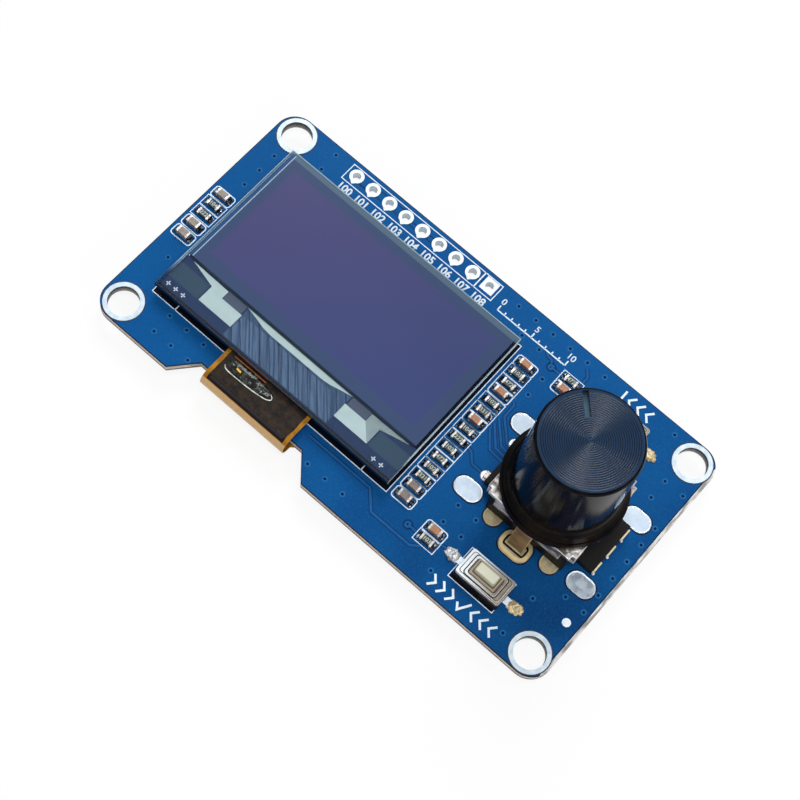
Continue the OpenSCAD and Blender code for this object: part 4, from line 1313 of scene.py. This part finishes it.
def make_lead_heaps():
    """Lumpy heaps of solder on the leads of the push buttons, those at the higher-x end warm as a
    painted reflection.
    """
    low, high = box_mm("key_leads")
    size_x, size_y, size_z = 0.86, 0.66, 0.52
    # painted reflection: the heaps at the higher-x end get the warm tint
    for word, end, paint in (("silver", low.x, LEAD), ("warm_reflection", high.x, PAINTED_WARM_LEAD)):
        bm = bmesh.new()
        for centre in KEYS.values():
            spot = Vector((end, centre.y, TOP))
            made = bmesh.ops.create_icosphere(bm, subdivisions=4, radius=1)
            for v in made["verts"]:
                lump = noise.noise(v.co * 1.7 + spot) + 0.6 * noise.noise(v.co * 4.2 + spot)
                v.co = v.co * (1 + 0.42 * lump)
                v.co = Vector((v.co.x * size_x, v.co.y * size_y, max(v.co.z * size_z, 0.0))) + spot
        bmesh.ops.remove_doubles(bm, verts=bm.verts[:], dist=0.004)
        rounded(bm, f"lead_heaps_{word}", paint)


def make_chip_codes():
    """Plain numbers on the resistors."""
    codes = ("103", "472", "102", "331", "104", "222")
    ink = Print()
    for count, name in enumerate(RESISTORS):
        centre = middle(name)
        ink.digits(codes[count % len(codes)], (centre.x, centre.y), 0.5, bold=0.02)
    top = box_mm(RESISTORS[0])[1].z
    ink.piece("chip_codes", CODE, top - 0.018, 0.022)


make_tracks()
make_teardrops()
make_key_grooves()
make_lug_joints()
make_ledge()
make_drop()
make_lip()
make_bare_metal()
make_beads()
make_lead_heaps()
make_chip_codes()
# the dark film would shade the ledge that lies deeper in the glass
frame["nodes"]["polarizer"].visible_shadow = False


# ---- stage: floor, lights, camera --------------------------------------------------------
def make_floor():
    """Pale floor that keeps a soft shadow and looks white to the camera."""
    bm = bmesh.new()
    bmesh.ops.create_grid(bm, x_segments=1, y_segments=1, size=1.5)
    bmesh.ops.translate(bm, verts=bm.verts[:], vec=(0, 0, cad_box[0][2]))
    paint = Paint("floor", color=(0.9, 0.9, 0.9, 1), rough=0.9, specular=0.0)
    lit = Wire(paint, paint.shader.outputs[0])
    white = paint.node("ShaderNodeEmission", {}, (1, 1, 1, 1), 1.0)
    mixed = paint.node("ShaderNodeMixShader", {}, paint.looked_at() * 0.88, lit, white)
    paint.join(paint.tree.nodes["Material Output"].inputs["Surface"], mixed)
    floor = new_object("floor", bm, [paint.material])


def make_world():
    """Soft even light, and a pale ground behind the object."""
    world = bpy.data.worlds.new("studio")
    world.use_nodes = True
    bpy.context.scene.world = world
    world.node_tree.nodes.clear()
    nodes = Nodes(world.node_tree)
    light = nodes.node("ShaderNodeBackground", {}, (0.93, 0.97, 1.0, 1), 0.3)
    shown = nodes.node("ShaderNodeBackground", {}, (0.8, 0.8, 0.8, 1), 1.0)
    mixed = nodes.node("ShaderNodeMixShader", {}, nodes.looked_at(), light, shown)
    output = world.node_tree.nodes.new("ShaderNodeOutputWorld")
    nodes.join(output.inputs["Surface"], mixed)


NEUTRAL, ORANGE = (1.0, 1.0, 1.0), (1.0, 0.5, 0.12)
# name, place and size in metres, watts, colour
LAMPS = (
    ("key", (-0.2, 0.4, 0.5), (0.24, 0.24), 1.9, NEUTRAL),
    ("fill", (0.06, -0.1, 0.66), (0.2, 0.2), 1.7, NEUTRAL),
    ("sheen", (0.24, 0.28, 0.6), (0.08, 0.08), 0.5, NEUTRAL),
    ("side", (0.35, -0.15, 0.18), (0.1, 0.2), 0.3, NEUTRAL),
    ("warm_right", (0.40, -0.1, 0.04), (0.016, 0.016), 0.2, ORANGE),
    ("warm_left", (-0.32, -0.24, 0.04), (0.016, 0.016), 0.2, ORANGE),
)


def make_lamps():
    """Rectangular lamps that face the object."""
    for name, place, size, watts, color in LAMPS:
        lamp = bpy.data.lights.new(name, "AREA")
        lamp.color = color
        lamp.shape = "RECTANGLE"
        lamp.size, lamp.size_y = size
        lamp.energy = watts
        holder = bpy.data.objects.new(name, lamp)
        holder.location = place
        holder.rotation_euler = (-Vector(place)).to_track_quat("-Z", "Y").to_euler()
        bpy.context.scene.collection.objects.link(holder)


def make_camera():
    lens = bpy.data.cameras.new("camera")
    lens.sensor_width = 36.0
    lens.lens = 80.95
    lens.clip_start = 0.01
    lens.clip_end = 5.0
    camera = bpy.data.objects.new("camera", lens)
    camera.location = (0.03259, -0.06787, 0.18793)
    camera.rotation_euler = Euler((0.35944, -0.10040, 0.71260))
    bpy.context.scene.collection.objects.link(camera)
    bpy.context.scene.camera = camera


make_floor()
make_world()
make_lamps()
make_camera()
bpy.context.scene.view_settings.view_transform = "Standard"
